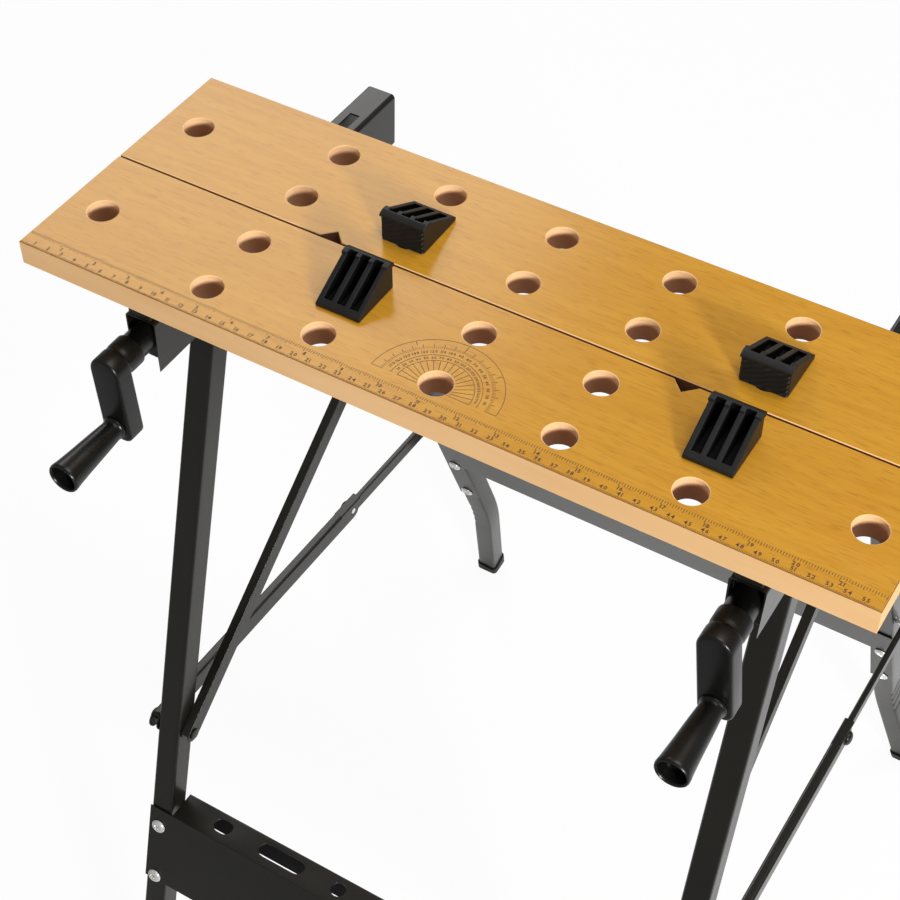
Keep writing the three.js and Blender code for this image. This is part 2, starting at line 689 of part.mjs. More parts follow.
// The step: a plate on the legs, with a flange folded back level between them
function stepPanel() {
  const direction = frontDirection(1);
  const drop = (pivotZ - STEP_TOP) / Math.cos(stepTilt);
  const topHalf = legEdge(direction, drop);
  const bottomHalf = legEdge(direction, drop + STEP_HEIGHT);
  const front = -SEAT_GAP - SHEET;
  const plateShape = outline([
    [-bottomHalf, -STEP_HEIGHT],
    [bottomHalf, -STEP_HEIGHT],
    [topHalf, 0],
    [-topHalf, 0],
  ]);
  const plate = extrudeY(plateShape, SHEET).translate(0, front, 0).rotateX(stepTilt);
  const flangeHalf = topHalf - LEG_WIDTH - LINK_GAP - SHEET;
  const [edgeY, edgeZ] = [front * Math.cos(stepTilt), front * Math.sin(stepTilt)];
  const flange = block([-flangeHalf, flangeHalf], [edgeY, edgeY + STEP_FLANGE], [edgeZ - SHEET, edgeZ]);
  const rear = edgeY + STEP_FLANGE;
  const lip = block([-flangeHalf, flangeHalf], [rear - SHEET, rear], [edgeZ - STEP_LIP, edgeZ]);
  let body = solid(plate).add(flange).add(lip);
  const holeY = edgeY + STEP_FLANGE / 2 + SHEET;
  const radius = STEP_HOLE_DIAMETER / 2;
  const openings = [
    [STEP_HOLE_X, 0],
    [STEP_SLOT_X, STEP_SLOT_LENGTH / 2 - radius],
    [STEP_OVAL_X, STEP_OVAL_LENGTH / 2 - radius],
  ];
  for (const [x, reach] of openings) {
    for (const side of [-1, 1]) {
      const slot = stadium(side * x - reach, side * x + reach, radius);
      const cutter = new THREE.ExtrudeGeometry(slot, { ...plain, depth: 2 * CUT });
      body = body.subtract(solid(cutter.translate(0, holeY, edgeZ - SHEET - CUT)));
    }
  }
  return drillPanel(body, direction, STEP_TOP, stepScrewHeights, stepTilt);
}

// The crossbar: a shallow bar with a flange along its top and a tab down the front of each rear leg
function crossbar() {
  const direction = rearDirection(1);
  const drop = (pivotZ - BAR_TOP) / Math.cos(barTilt);
  const topHalf = legEdge(direction, drop);
  const bottomHalf = legEdge(direction, drop + BAR_TAB_HEIGHT);
  const inner = topHalf - LEG_WIDTH;
  const front = -SEAT_GAP - SHEET;
  const shape = outline([
    [-bottomHalf, -BAR_TAB_HEIGHT],
    [-inner, -BAR_TAB_HEIGHT],
    [-inner, -BAR_HEIGHT],
    [inner, -BAR_HEIGHT],
    [inner, -BAR_TAB_HEIGHT],
    [bottomHalf, -BAR_TAB_HEIGHT],
    [topHalf, 0],
    [-topHalf, 0],
  ]);
  const plate = extrudeY(shape, SHEET).translate(0, front, 0).rotateX(barTilt);
  const flangeHalf = inner - LINK_GAP - SHEET;
  const flange = new THREE.BoxGeometry(2 * flangeHalf, BAR_FLANGE, SHEET);
  flange.translate(0, front + BAR_FLANGE / 2, -SHEET / 2);
  const body = solid(plate).add(solid(flange.rotateX(barTilt)));
  return drillPanel(body, direction, BAR_TOP, barScrewHeights, barTilt);
}

function drillPanel(panel, direction, top, heights, tilt) {
  const radius = PANEL_SCREW_DIAMETER / 2 + RUN_GAP;
  let body = panel;
  for (const height of heights) {
    for (const side of [-1, 1]) {
      const drop = (top - height) / Math.cos(tilt);
      const x = side * (channelX + Math.abs(direction.x) * (pivotZ - height));
      const geometry = new THREE.CylinderGeometry(radius, radius, 2 * CUT, PIN_STEPS);
      geometry.translate(x, 0, -drop);
      body = body.subtract(solid(geometry.rotateX(tilt)));
    }
  }
  return body;
}

// A folded link: pivots at Y = 0 and Y = length, open along its lower edge
function link(length, width, height, noseReach, tailReach) {
  const shape = stadium(noseReach, length + tailReach, height / 2);
  const half = width / 2;
  const hollowHalf = half - LINK_SHEET;
  const reach = [-height + noseReach, length + tailReach + height];
  const hollow = block([-hollowHalf, hollowHalf], reach, [-height, height / 2 - LINK_SHEET]);
  const body = extrudeX(shape, [-half, half]).subtract(hollow);
  return body
    .subtract(rod("x", boltRadius + RUN_GAP, [-width, width], [0, 0]))
    .subtract(rod("x", boltRadius + RUN_GAP, [-width, width], [length, 0]));
}

// A bolt or rivet along X from its domed head at the outer end to its nut or collar at the inner end
function crossPin(side, outer, inner, nut) {
  const head = BOLT_HEAD_DIAMETER / 2;
  const shaftEnd = outer + BOLT_HEAD_HEIGHT / 3;
  const [from, to] = side > 0 ? [inner, shaftEnd] : [-shaftEnd, -inner];
  const shaft = rod("x", boltRadius, [from, to], [0, 0]);
  const dome = turned([
    [0, 0],
    [head, 0],
    [head, BOLT_HEAD_HEIGHT / 3],
    [head / 2, BOLT_HEAD_HEIGHT],
    [0, BOLT_HEAD_HEIGHT],
  ], PIN_STEPS);
  dome.rotateZ(-side * Math.PI / 2);
  dome.translate(side * outer, 0, 0);
  const body = shaft.add(solid(dome));
  if (!nut) {
    return body;
  }
  const nutSpan = side > 0 ? [inner, inner + BOLT_NUT_HEIGHT] : [-inner - BOLT_NUT_HEIGHT, -inner];
  return body.add(rod("x", BOLT_NUT_WIDTH / Math.sqrt(3), nutSpan, [0, 0], 6));
}

// Assembly
const bench = new THREE.Group();

function addAt(parent, position, mesh) {
  mesh.position.copy(position);
  parent.add(mesh);
}

function group(parent, position = new THREE.Vector3()) {
  const node = new THREE.Group();
  node.position.copy(position);
  parent.add(node);
  return node;
}

const top = group(bench);
const slidingJaw = group(bench);
const frontFrame = group(bench);
const rearFrame = group(bench);

const jawZ = new THREE.Vector3(0, 0, boardBottom);
addAt(top, jawZ, piece("front_jaw", jaw(HOLE_SHIFT + NOTCH_OFFSET, JAW_DEPTH), beech()));
const rearJaw = piece("rear_jaw", jaw(HOLE_SHIFT - NOTCH_OFFSET, 0), beech());
addAt(slidingJaw, jawZ.clone().setY(rearJawY), rearJaw);

for (const [name, column] of Object.entries(DOG_COLUMNS)) {
  const x = holeColumns[column];
  const front = group(top, new THREE.Vector3(x, JAW_DEPTH - HOLE_EDGE, BENCH_HEIGHT));
  front.add(piece(`front_dog_${name}`, dog(), blackPlastic()));
  const rear = group(slidingJaw, new THREE.Vector3(x, rearJawY + HOLE_EDGE, BENCH_HEIGHT));
  rear.rotation.z = Math.PI;
  rear.add(piece(`rear_dog_${name}`, dog(), blackPlastic()));
}

// The low pivot, the strut's seat and the brace's seat on one side's legs
function linkPlaces(side) {
  const low = frontPivot(side).addScaledVector(frontDirection(side), frontDrop);
  const down = (reach) => {
    const direction = rearDirection(side);
    return direction.multiplyScalar(reach / Math.hypot(direction.y, direction.z));
  };
  return {
    low,
    strutSeat: rearPivot(side).add(down(STRUT_REACH)),
    braceSeat: rearPivot(side).add(down(BRACE_REACH)),
  };
}

// Turns a link's own axes so that its Y axis points from one pivot to the other
function aim(node, from, to) {
  const along = to.clone().sub(from).normalize();
  const up = new THREE.Vector3().crossVectors(new THREE.Vector3(1, 0, 0), along).normalize();
  const across = new THREE.Vector3().crossVectors(along, up);
  node.quaternion.setFromRotationMatrix(new THREE.Matrix4().makeBasis(across, along, up));
}

for (const [name, side] of SIDES) {
  const rail = new THREE.Vector3(side * channelX, 0, 0);
  addAt(top, rail, piece(`channel_${name}`, channel(), blackSteel()));
  addAt(top, rail, piece(`end_plate_${name}`, endPlate(), glossBlack()));
  addAt(top, rail, piece(`front_block_${name}`, frontBlock(), blackPlastic()));
  addAt(slidingJaw, rail, piece(`slide_block_${name}`, slideBlock(), blackPlastic()));
  addAt(slidingJaw, rail, piece(`travelling_nut_${name}`, travellingNut(), zinc()));

  const crankGroup = group(top, new THREE.Vector3(side * channelX, endPlateY, screwZ));
  crankGroup.rotation.y = -THREE.MathUtils.degToRad(CRANK_ANGLES[name]);
  crankGroup.add(piece(`clamp_screw_${name}`, clampScrew(), zinc()));
  crankGroup.add(piece(`crank_${name}`, crank(), glossBlack()));
  crankGroup.add(piece(`crank_grip_${name}`, solid(crankGrip()), glossBlack()));

  const boltReach = channelWidth / 2 + SEAT_GAP;
  const boltInner = -boltReach - BOLT_NUT_HEIGHT;
  const pivotBolt = () => crossPin(side, boltReach, boltInner, true);
  addAt(top, frontPivot(side), piece(`front_pivot_bolt_${name}`, pivotBolt(), zinc()));
  addAt(top, rearPivot(side), piece(`rear_pivot_bolt_${name}`, pivotBolt(), zinc()));

  addAt(frontFrame, frontPivot(side), piece(`front_leg_${name}`, frontLeg(side), blackSteel()));
  const frontFoot = footCap(origin, frontDirection(side), pivotZ);
  addAt(frontFrame, frontPivot(side), piece(`front_foot_${name}`, frontFoot, blackPlastic()));
  addAt(rearFrame, rearPivot(side), piece(`rear_leg_${name}`, rearLeg(side), blackSteel()));
  addAt(rearFrame, rearPivot(side), piece(`rear_foot_${name}`, rearFoot(side), blackPlastic()));

  const { low, strutSeat, braceSeat } = linkPlaces(side);
  const legHalf = LEG_WIDTH / 2;
  const strutOffset = -side * (legHalf + LINK_GAP + STRUT_WIDTH / 2);
  const strutFrom = low.clone().setX(low.x + strutOffset);
  const strutTo = strutSeat.clone().setX(strutSeat.x + strutOffset);
  const strutGroup = group(frontFrame, strutFrom);
  aim(strutGroup, strutFrom, strutTo);
  const strutLength = strutFrom.distanceTo(strutTo);
  const strut = link(strutLength, STRUT_WIDTH, STRUT_HEIGHT, 0, 0);
  strutGroup.add(piece(`strut_${name}`, strut, blackSteel()));
  const rivetReach = STRUT_WIDTH / 2 + SEAT_GAP;
  const strutRivet = crossPin(-side, rivetReach, -STRUT_WIDTH / 2, false);
  addAt(strutGroup, new THREE.Vector3(0, strutLength, 0), piece(`strut_rivet_${name}`, strutRivet, zinc()));

  const braceOffset = side * (legHalf + LINK_GAP + BRACE_WIDTH / 2);
  const braceFrom = low.clone().setX(low.x + braceOffset);
  const braceTo = braceSeat.clone().setX(braceFrom.x);
  const braceGroup = group(frontFrame, braceFrom);
  aim(braceGroup, braceFrom, braceTo);
  const braceFront = link(BRACE_FRONT_LENGTH, BRACE_WIDTH, BRACE_HEIGHT, BRACE_HEIGHT / 2 - BRACE_NOSE, 0)
    .add(braceTail());
  braceGroup.add(piece(`brace_front_${name}`, braceFront, blackSteel()));
  const knee = group(braceGroup, new THREE.Vector3(0, BRACE_FRONT_LENGTH, 0));
  const rearWidth = BRACE_WIDTH - 2 * LINK_SHEET - 2 * LINK_GAP;
  const rearLength = braceFrom.distanceTo(braceTo) - BRACE_FRONT_LENGTH;
  const braceRear = link(rearLength, rearWidth, BRACE_REAR_HEIGHT, 0, 0);
  knee.add(piece(`brace_rear_${name}`, braceRear, blackSteel()));
  const kneeReach = BRACE_WIDTH / 2 + SEAT_GAP;
  knee.add(piece(`knee_rivet_${name}`, crossPin(side, kneeReach, -BRACE_WIDTH / 2, false), zinc()));
  const bracePinEnd = Math.abs(braceSeat.x) + legHalf + LINK_GAP - Math.abs(braceFrom.x);
  const bracePin = crossPin(side, rearWidth / 2 + SEAT_GAP, bracePinEnd, false);
  addAt(knee, new THREE.Vector3(0, rearLength, 0), piece(`brace_pin_${name}`, bracePin, zinc()));

  const lowOuter = legHalf + LINK_GAP + BRACE_WIDTH + SEAT_GAP;
  const lowInner = -legHalf - LINK_GAP - STRUT_WIDTH - LINK_GAP - BOLT_NUT_HEIGHT;
  const lowBolt = crossPin(side, lowOuter, lowInner, true);
  addAt(frontFrame, low, piece(`low_pivot_bolt_${name}`, lowBolt, blackSteel()));

  addScrews(frontFrame, `step_screw_${name}`, frontPivot(side), frontDirection(side), stepScrewHeights);
  addScrews(rearFrame, `crossbar_screw_${name}`, rearPivot(side), rearDirection(side), barScrewHeights);
}

function braceTail() {
  const half = BRACE_WIDTH / 2;
  return block(
    [-half, half],
    [BRACE_FRONT_LENGTH - BRACE_HEIGHT, BRACE_FRONT_LENGTH + BRACE_TAIL],
    [BRACE_HEIGHT / 2 - LINK_SHEET, BRACE_HEIGHT / 2],
  );
}

function addScrews(frame, name, pivot, direction, heights) {
  heights.forEach((height, i) => {
    const { point, tilt } = faceFrame(direction, pivotZ - height);
    const across = new THREE.Vector3(1, 0, 0);
    const offset = new THREE.Vector3(0, -SEAT_GAP - SHEET, 0).applyAxisAngle(across, tilt);
    const screw = group(frame, point.add(pivot).add(offset));
    screw.rotation.x = tilt;
    screw.add(piece(`${name}_${i + 1}`, solid(panelScrew()), zinc()));
  });
}

const stepFace = faceFrame(frontDirection(1), pivotZ - STEP_TOP).point.add(frontPivot(1)).setX(0);
addAt(frontFrame, stepFace, piece("step_panel", stepPanel(), blackSteel()));
const barFace = faceFrame(rearDirection(1), pivotZ - BAR_TOP).point.add(rearPivot(1)).setX(0);
addAt(rearFrame, barFace, piece("crossbar", crossbar(), blackSteel()));

// The origin is the middle of the bench's outline on the floor
bench.updateMatrixWorld(true);
const bounds = new THREE.Box3().setFromObject(bench, true);
bench.position.y = -(bounds.min.y + bounds.max.y) / 2;

export default bench;
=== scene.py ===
"""Looks of the folding workbench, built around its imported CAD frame. Metres, +Z up."""
import math

import bmesh
import bpy
from mathutils import Matrix, Vector
from mathutils.geometry import tessellate_polygon


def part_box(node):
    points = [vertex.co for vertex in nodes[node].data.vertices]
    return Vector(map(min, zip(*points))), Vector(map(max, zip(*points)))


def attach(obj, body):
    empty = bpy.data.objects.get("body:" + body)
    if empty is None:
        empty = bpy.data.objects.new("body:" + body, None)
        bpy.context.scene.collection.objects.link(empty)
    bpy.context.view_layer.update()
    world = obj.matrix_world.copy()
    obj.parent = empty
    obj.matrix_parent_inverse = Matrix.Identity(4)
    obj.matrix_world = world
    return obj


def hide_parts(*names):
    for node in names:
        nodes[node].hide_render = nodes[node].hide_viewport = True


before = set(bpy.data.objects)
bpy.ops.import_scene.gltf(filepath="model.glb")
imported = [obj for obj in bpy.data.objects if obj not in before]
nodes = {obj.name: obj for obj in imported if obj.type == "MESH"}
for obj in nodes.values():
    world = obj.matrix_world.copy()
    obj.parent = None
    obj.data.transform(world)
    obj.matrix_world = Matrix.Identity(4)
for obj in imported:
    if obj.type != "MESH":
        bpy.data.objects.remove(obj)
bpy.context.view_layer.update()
scene = bpy.context.scene
MM = 0.001
SIDES = ("left", "right")


def srgb(red, green, blue):
    """Linear RGBA of a colour given as 0 to 255."""
    def linear(value):
        value /= 255
        return value / 12.92 if value <= 0.04045 else ((value + 0.055) / 1.055) ** 2.4
    return (linear(red), linear(green), linear(blue), 1)


# Camera, light and floor

LENS_LENGTH, SENSOR_WIDTH = 74.73, 36.0
CAMERA_PLACE = Vector((0.40048, -0.81364, 1.53634))
CAMERA_VIEW = Vector((-0.35901, 0.58744, -0.72527)).normalized()
CAMERA_RIGHT = Vector((0.85550, 0.51778, -0.00409)).normalized()


def add_camera():
    """The photograph's camera."""
    data = bpy.data.cameras.new("photo_camera")
    data.sensor_width = SENSOR_WIDTH
    data.lens = LENS_LENGTH
    camera = bpy.data.objects.new("photo_camera", data)
    up = CAMERA_RIGHT.cross(CAMERA_VIEW)
    turn = Matrix((CAMERA_RIGHT, up, -CAMERA_VIEW)).transposed().to_4x4()
    camera.matrix_world = Matrix.Translation(CAMERA_PLACE) @ turn
    scene.collection.objects.link(camera)
    scene.camera = camera


def add_softbox(name, place, target, size, watts):
    """A round area lamp, aimed at a target."""
    data = bpy.data.lights.new(name, "AREA")
    data.shape = "DISK"
    data.size = size
    data.energy = watts
    lamp = bpy.data.objects.new(name, data)
    lamp.location = place
    lamp.rotation_euler = (Vector(target) - Vector(place)).to_track_quat("-Z", "Y").to_euler()
    scene.collection.objects.link(lamp)


# A Mix node's sockets for colours
MIX_FIRST, MIX_SECOND, MIX_RESULT = 6, 7, 2


class Tree:
    """A short way to write a node tree."""

    def __init__(self, owner):
        owner.use_nodes = True
        self.tree = owner.node_tree
        self.tree.nodes.clear()

    def add(self, kind, inputs=None, **settings):
        node = self.tree.nodes.new(kind)
        for name, value in settings.items():
            setattr(node, name, value)
        for name, value in (inputs or {}).items():
            self.put(node.inputs[name], value)
        return node

    def put(self, socket, value):
        if isinstance(value, bpy.types.NodeSocket):
            self.tree.links.new(value, socket)
        else:
            socket.default_value = value

    def math(self, operation, first, second):
        return self.add("ShaderNodeMath", {0: first, 1: second}, operation=operation).outputs[0]

    def rise(self, start, span, factor):
        """start where the factor is 0, and start plus span where it is 1."""
        return self.math("ADD", start, self.math("MULTIPLY", factor, span))

    def ramp(self, factor, low=0.3, high=0.7):
        """0 below low, 1 above high."""
        node = self.add("ShaderNodeMapRange", {"Value": factor, "From Min": low, "From Max": high})
        return node.outputs["Result"]

    def mix(self, factor, first, second):
        node = self.add("ShaderNodeMix", data_type="RGBA")
        self.put(node.inputs["Factor"], factor)
        self.put(node.inputs[MIX_FIRST], first)
        self.put(node.inputs[MIX_SECOND], second)
        return node.outputs[MIX_RESULT]

    def tint(self, tone, color, mask, share):
        """The tone, taken a share of the way to a colour where the mask is 1."""
        return self.mix(self.math("MULTIPLY", mask, share), tone, color)

    def place(self):
        return self.add("ShaderNodeTexCoord").outputs["Object"]

    def noise(self, scale=1.0, detail=2.0, roughness=0.5, grain=(1, 1, 1), where=None):
        """Noise in object coordinates, or in where, stretched by its grain."""
        stretch = self.add("ShaderNodeMapping", {"Vector": where or self.place(), "Scale": grain})
        node = self.add("ShaderNodeTexNoise", {
            "Vector": stretch.outputs[0], "Scale": scale, "Detail": detail, "Roughness": roughness})
        return node.outputs["Fac"]

    def bump(self, height, strength, distance):
        node = self.add("ShaderNodeBump", {"Height": height, "Strength": strength, "Distance": distance})
        return node.outputs["Normal"]


WHITE = (1, 1, 1, 1)
WORLD_STRENGTH = 0.28
FLOOR_PAINT, FLOOR_GLOW = (0.9, 0.9, 0.9, 1), 0.93
FLOOR_REACH, FLOOR_FRONT, FLOOR_DROP = 6.0, -0.42, 0.0003


def add_stage():
    """White surroundings to the camera, dimmer to all else, and a pale floor."""
    world = bpy.data.worlds.new("studio")
    scene.world = world
    tree = Tree(world)
    camera = tree.add("ShaderNodeLightPath").outputs["Is Camera Ray"]
    strength = tree.rise(WORLD_STRENGTH, 1 - WORLD_STRENGTH, camera)
    sky = tree.add("ShaderNodeBackground", {"Color": WHITE, "Strength": strength})
    tree.add("ShaderNodeOutputWorld", {"Surface": sky.outputs[0]})

    mesh = bpy.data.meshes.new("floor")
    corners = [(-FLOOR_REACH, FLOOR_FRONT), (FLOOR_REACH, FLOOR_FRONT),
               (FLOOR_REACH, FLOOR_REACH), (-FLOOR_REACH, FLOOR_REACH)]
    mesh.from_pydata([(x, y, -FLOOR_DROP) for x, y in corners], [], [(0, 1, 2, 3)])
    floor = bpy.data.objects.new("floor", mesh)
    scene.collection.objects.link(floor)
    paint = bpy.data.materials.new("floor_white")
    tree = Tree(paint)
    camera = tree.add("ShaderNodeLightPath").outputs["Is Camera Ray"]
    matte = tree.add("ShaderNodeBsdfDiffuse", {"Color": FLOOR_PAINT})
    glow = tree.add("ShaderNodeEmission", {"Color": WHITE, "Strength": 1.0})
    share = tree.math("MULTIPLY", camera, FLOOR_GLOW)
    blend = tree.add("ShaderNodeMixShader", {0: share, 1: matte.outputs[0], 2: glow.outputs[0]})
    tree.add("ShaderNodeOutputMaterial", {"Surface": blend.outputs[0]})
    mesh.materials.append(paint)


# Materials. A grain is a noise's scale along X, Y and Z.

SWAY_GRAIN, SWAY_REACH = (2.2, 9, 1), 0.028
BROAD_GRAIN, STREAK_GRAIN = (1.6, 26, 1), (17, 210, 1)
FINE_GRAIN, FLECK_GRAIN = (40, 700, 1), (95, 900, 1)
BEECH_PALE, BEECH_DEEP = srgb(208, 151, 45), srgb(199, 141, 35)
BEECH_STREAK, BEECH_FINE, BEECH_FLECK = srgb(184, 122, 26), srgb(216, 162, 62), srgb(156, 98, 22)
FIBRE_SCALE, CORE_GRAIN = 1400.0, (9, 9, 60)
# A hole's wall turns from the top tone to the shaded tone between these depths below the face: painted
# shade
BORE_SHADE_START, BORE_SHADE_FULL = 0.0035, 0.0065
BORE_TOP_TONE, BORE_SHADED_TONE, BORE_SPECK = srgb(240, 196, 146), srgb(170, 122, 86), srgb(140, 94, 60)
COAT_DARK, COAT_PALE, COAT_RUBBED = srgb(17, 16, 12), srgb(22, 21, 16), srgb(42, 41, 38)
PEEL_SCALE, HANDLING_SCALE, RUB_GRAIN = 900.0, 14.0, (30, 30, 4)
MOULDING_SCALE = 45.0
ZINC_COOL, ZINC_WARM = srgb(232, 234, 238), srgb(222, 218, 208)
PLATING_SCALE, TURNING_GRAIN = 120.0, (300, 2600, 2600)
INK_DARK, INK_WORN, WEAR_SCALE = srgb(62, 36, 8), srgb(96, 60, 20), 700.0


def surface(name, build, **sockets):
    """A Principled material: build(tree) gives its linked sockets, and sockets are its constants."""
    material = bpy.data.materials.new(name)
    tree = Tree(material)
    shader = tree.add("ShaderNodeBsdfPrincipled")
    for socket, value in {**sockets, **build(tree)}.items():
        tree.put(shader.inputs[socket.replace("_", " ")], value)
    tree.add("ShaderNodeOutputMaterial", {"Surface": shader.outputs[0]})
    return material


def beech_print(tree):
    """Printed beech: broad tone, long streaks and short flecks, all along X."""
    sway = tree.noise(grain=SWAY_GRAIN)
    shift = tree.add("ShaderNodeCombineXYZ", {"Y": tree.math("MULTIPLY", sway, SWAY_REACH)}).outputs[0]
    moved = tree.add("ShaderNodeVectorMath", {0: tree.place(), 1: shift}, operation="ADD").outputs[0]

    def printed(grain, detail=2.0):
        return tree.noise(detail=detail, roughness=0.6, grain=grain, where=moved)

    broad = tree.ramp(printed(BROAD_GRAIN))
    streak = tree.ramp(printed(STREAK_GRAIN, detail=3.0), low=0.38, high=0.70)
    fine = tree.ramp(printed(FINE_GRAIN), low=0.35, high=0.75)
    fleck = tree.ramp(printed(FLECK_GRAIN, detail=0.0), low=0.62, high=0.74)
    tone = tree.mix(broad, BEECH_PALE, BEECH_DEEP)
    tone = tree.tint(tone, BEECH_STREAK, streak, share=0.5)
    tone = tree.tint(tone, BEECH_FINE, fine, share=0.24)
    tone = tree.tint(tone, BEECH_FLECK, fleck, share=0.32)
    rough = tree.rise(start=0.19, span=0.05, factor=fine)
    relief = tree.bump(fine, strength=0.05, distance=0.0002)
    return {"Base_Color": tone, "Roughness": rough, "Normal": relief}


def core_fibres(tree):
    """The specks of a fibreboard's core, as a mask and as a relief."""
    speck = tree.noise(FIBRE_SCALE, detail=3.0, roughness=0.7)
    return tree.ramp(speck, low=0.5, high=0.75), tree.bump(speck, strength=0.25, distance=0.0003)


def fibreboard(light, dark):
    def build(tree):
        speck, relief = core_fibres(tree)
        cloud = tree.noise(detail=3.0, grain=CORE_GRAIN)
        tone = tree.mix(tree.ramp(cloud), light, dark)
        tone = tree.tint(tone, dark, speck, share=0.35)
        return {"Base_Color": tone, "Normal": relief}
    return build


def bored_core(tree):
    """The wall of a drilled hole: pale at the board's face and darker deeper down, which is painted
    shade.
    """
    speck, relief = core_fibres(tree)
    height = tree.add("ShaderNodeSeparateXYZ", {0: tree.place()}).outputs["Z"]
    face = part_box("front_jaw")[1].z
    depth = tree.ramp(tree.math("SUBTRACT", face, height), BORE_SHADE_START, BORE_SHADE_FULL)
    tone = tree.mix(depth, BORE_TOP_TONE, BORE_SHADED_TONE)
    tone = tree.tint(tone, BORE_SPECK, speck, share=0.3)
    return {"Base_Color": tone, "Normal": relief}


def powder_coat(tree):
    """Satin black with the orange peel of baked powder and faint handling marks."""
    peel = tree.noise(PEEL_SCALE)
    cloud = tree.noise(HANDLING_SCALE, detail=4.0, roughness=0.6)
    rub = tree.noise(scale=3.0, detail=4.0, roughness=0.65, grain=RUB_GRAIN)
    tone = tree.mix(tree.ramp(cloud), COAT_DARK, COAT_PALE)
    tone = tree.tint(tone, COAT_RUBBED, tree.ramp(rub, low=0.62, high=0.8), share=0.2)
    rough = tree.rise(start=0.24, span=0.1, factor=cloud)
    relief = tree.bump(peel, strength=0.06, distance=0.0003)
    return {"Base_Color": tone, "Roughness": rough, "Normal": relief}


def moulding(dark, light, rough_from, rough_span=0.14, grit=1800.0, strength=0.14):
    """Black plastic, with the grit of its mould."""
    def build(tree):
        fine = tree.noise(grit)
        cloud = tree.noise(MOULDING_SCALE, detail=3.0, roughness=0.6)
        tone = tree.mix(tree.ramp(cloud), dark, light)
        rough = tree.rise(rough_from, rough_span, cloud)
        relief = tree.bump(fine, strength, distance=0.0002)
        return {"Base_Color": tone, "Roughness": rough, "Normal": relief}
    return build


def plated(tree):
    """Bright zinc: fine turning marks and a faint warm cast in patches."""
    cloud = tree.noise(PLATING_SCALE, detail=3.0)
    line = tree.noise(detail=1.0, grain=TURNING_GRAIN)
    tone = tree.mix(tree.ramp(cloud, low=0.35, high=0.7), ZINC_COOL, ZINC_WARM)
    rough = tree.rise(start=0.2, span=0.16, factor=cloud)
    relief = tree.bump(line, strength=0.08, distance=0.0001)
    return {"Base_Color": tone, "Roughness": rough, "Normal": relief}


def ink(tree):
    """Brown print, paler where worn."""
    wear = tree.noise(WEAR_SCALE, detail=3.0, roughness=0.7)
    return {"Base_Color": tree.mix(tree.ramp(wear, low=0.4, high=0.75), INK_DARK, INK_WORN)}


edge_board = fibreboard(srgb(244, 198, 142), srgb(236, 187, 128))
# Dark brown for the walls along the split and in the notch: painted shade
shaded_split_board = fibreboard(srgb(142, 94, 58), srgb(116, 75, 44))
back_board = fibreboard(srgb(196, 154, 108), srgb(178, 136, 92))
rim_board = fibreboard(srgb(150, 98, 40), srgb(126, 80, 30))
matte_plastic = moulding(srgb(17, 17, 16), srgb(23, 23, 22), rough_from=0.42)
# Near black for the dogs' slots and inside the step's lip: painted shade
shade_plastic = moulding(srgb(6, 6, 6), srgb(9, 9, 9), rough_from=0.6)
gloss_plastic = moulding(
    srgb(12, 12, 11), srgb(17, 17, 16), rough_from=0.25, rough_span=0.12, grit=260.0, strength=0.05)
MATERIALS = {
    "laminate": surface("beech_laminate", beech_print, IOR=1.48),
    "edge": surface("fibreboard_edge", edge_board, Roughness=0.82),
    "bore": surface("fibreboard_bore_painted_shade", bored_core, Roughness=0.86),
    "split_shade": surface("fibreboard_split_painted_shade", shaded_split_board, Roughness=0.86),
    "backing": surface("fibreboard_back", back_board, Roughness=0.8),
    "rim": surface("laminate_rim", rim_board, Roughness=0.6),
    "ink": surface("brown_print", ink, Roughness=0.5),
    "steel": surface("black_powder_coat", powder_coat, IOR=1.48, Specular_Tint=(1, 0.985, 0.945, 1)),
    "matte": surface("matte_black_plastic", matte_plastic, Specular_IOR_Level=0.34),
    "recess": surface("black_plastic_painted_shade", shade_plastic, Specular_IOR_Level=0.12),
    "gloss": surface("gloss_black_plastic", gloss_plastic, Specular_IOR_Level=0.36),
    "zinc": surface("bright_zinc", plated, Metallic=1.0),
    # Half metallic, so the pale zinc shows as diffuse white on the screw heads: painted highlight
    "screw": surface("zinc_painted_highlight", plated, Metallic=0.5),
}


# Mesh tools. Sizes are in millimetres here, and turn to metres as the mesh is made.

BEVEL_FROM, FLAT_WEIGHT = 38, 90
ON_AXIS = 1e-6
WELD = 1e-4


def finish_mesh(name, bm, body, paint, stands_for=(), bevel=0.0, bevel_steps=2, smooth=35):
    """Turns a bmesh into a piece on its body. paint is one material's name, or a list.
    Edges that turn by more than smooth, in degrees, stay sharp."""
    bmesh.ops.recalc_face_normals(bm, faces=bm.faces)
    bmesh.ops.scale(bm, vec=(MM, MM, MM), verts=bm.verts)
    mesh = bpy.data.meshes.new(name)
    bm.to_mesh(mesh)
    bm.free()
    paints = [paint] if isinstance(paint, str) else paint
    for key in paints:
        mesh.materials.append(MATERIALS[key])
    mesh.polygons.foreach_set("use_smooth", [True] * len(mesh.polygons))
    mesh.set_sharp_from_angle(angle=math.radians(smooth))
    piece = bpy.data.objects.new(name, mesh)
    scene.collection.objects.link(piece)
    if bevel:
        soften(piece, bevel, bevel_steps)
    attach(piece, body)
    if stands_for:
        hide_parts(*stands_for)


def soften(piece, width, steps):
    """Rounds a piece's sharp edges and keeps its flats flat."""
    rounding = piece.modifiers.new("rounding", "BEVEL")
    rounding.width = width * MM
    rounding.segments = steps
    rounding.limit_method = "ANGLE"
    rounding.angle_limit = math.radians(BEVEL_FROM)
    flats = piece.modifiers.new("flats", "WEIGHTED_NORMAL")
    flats.weight = FLAT_WEIGHT


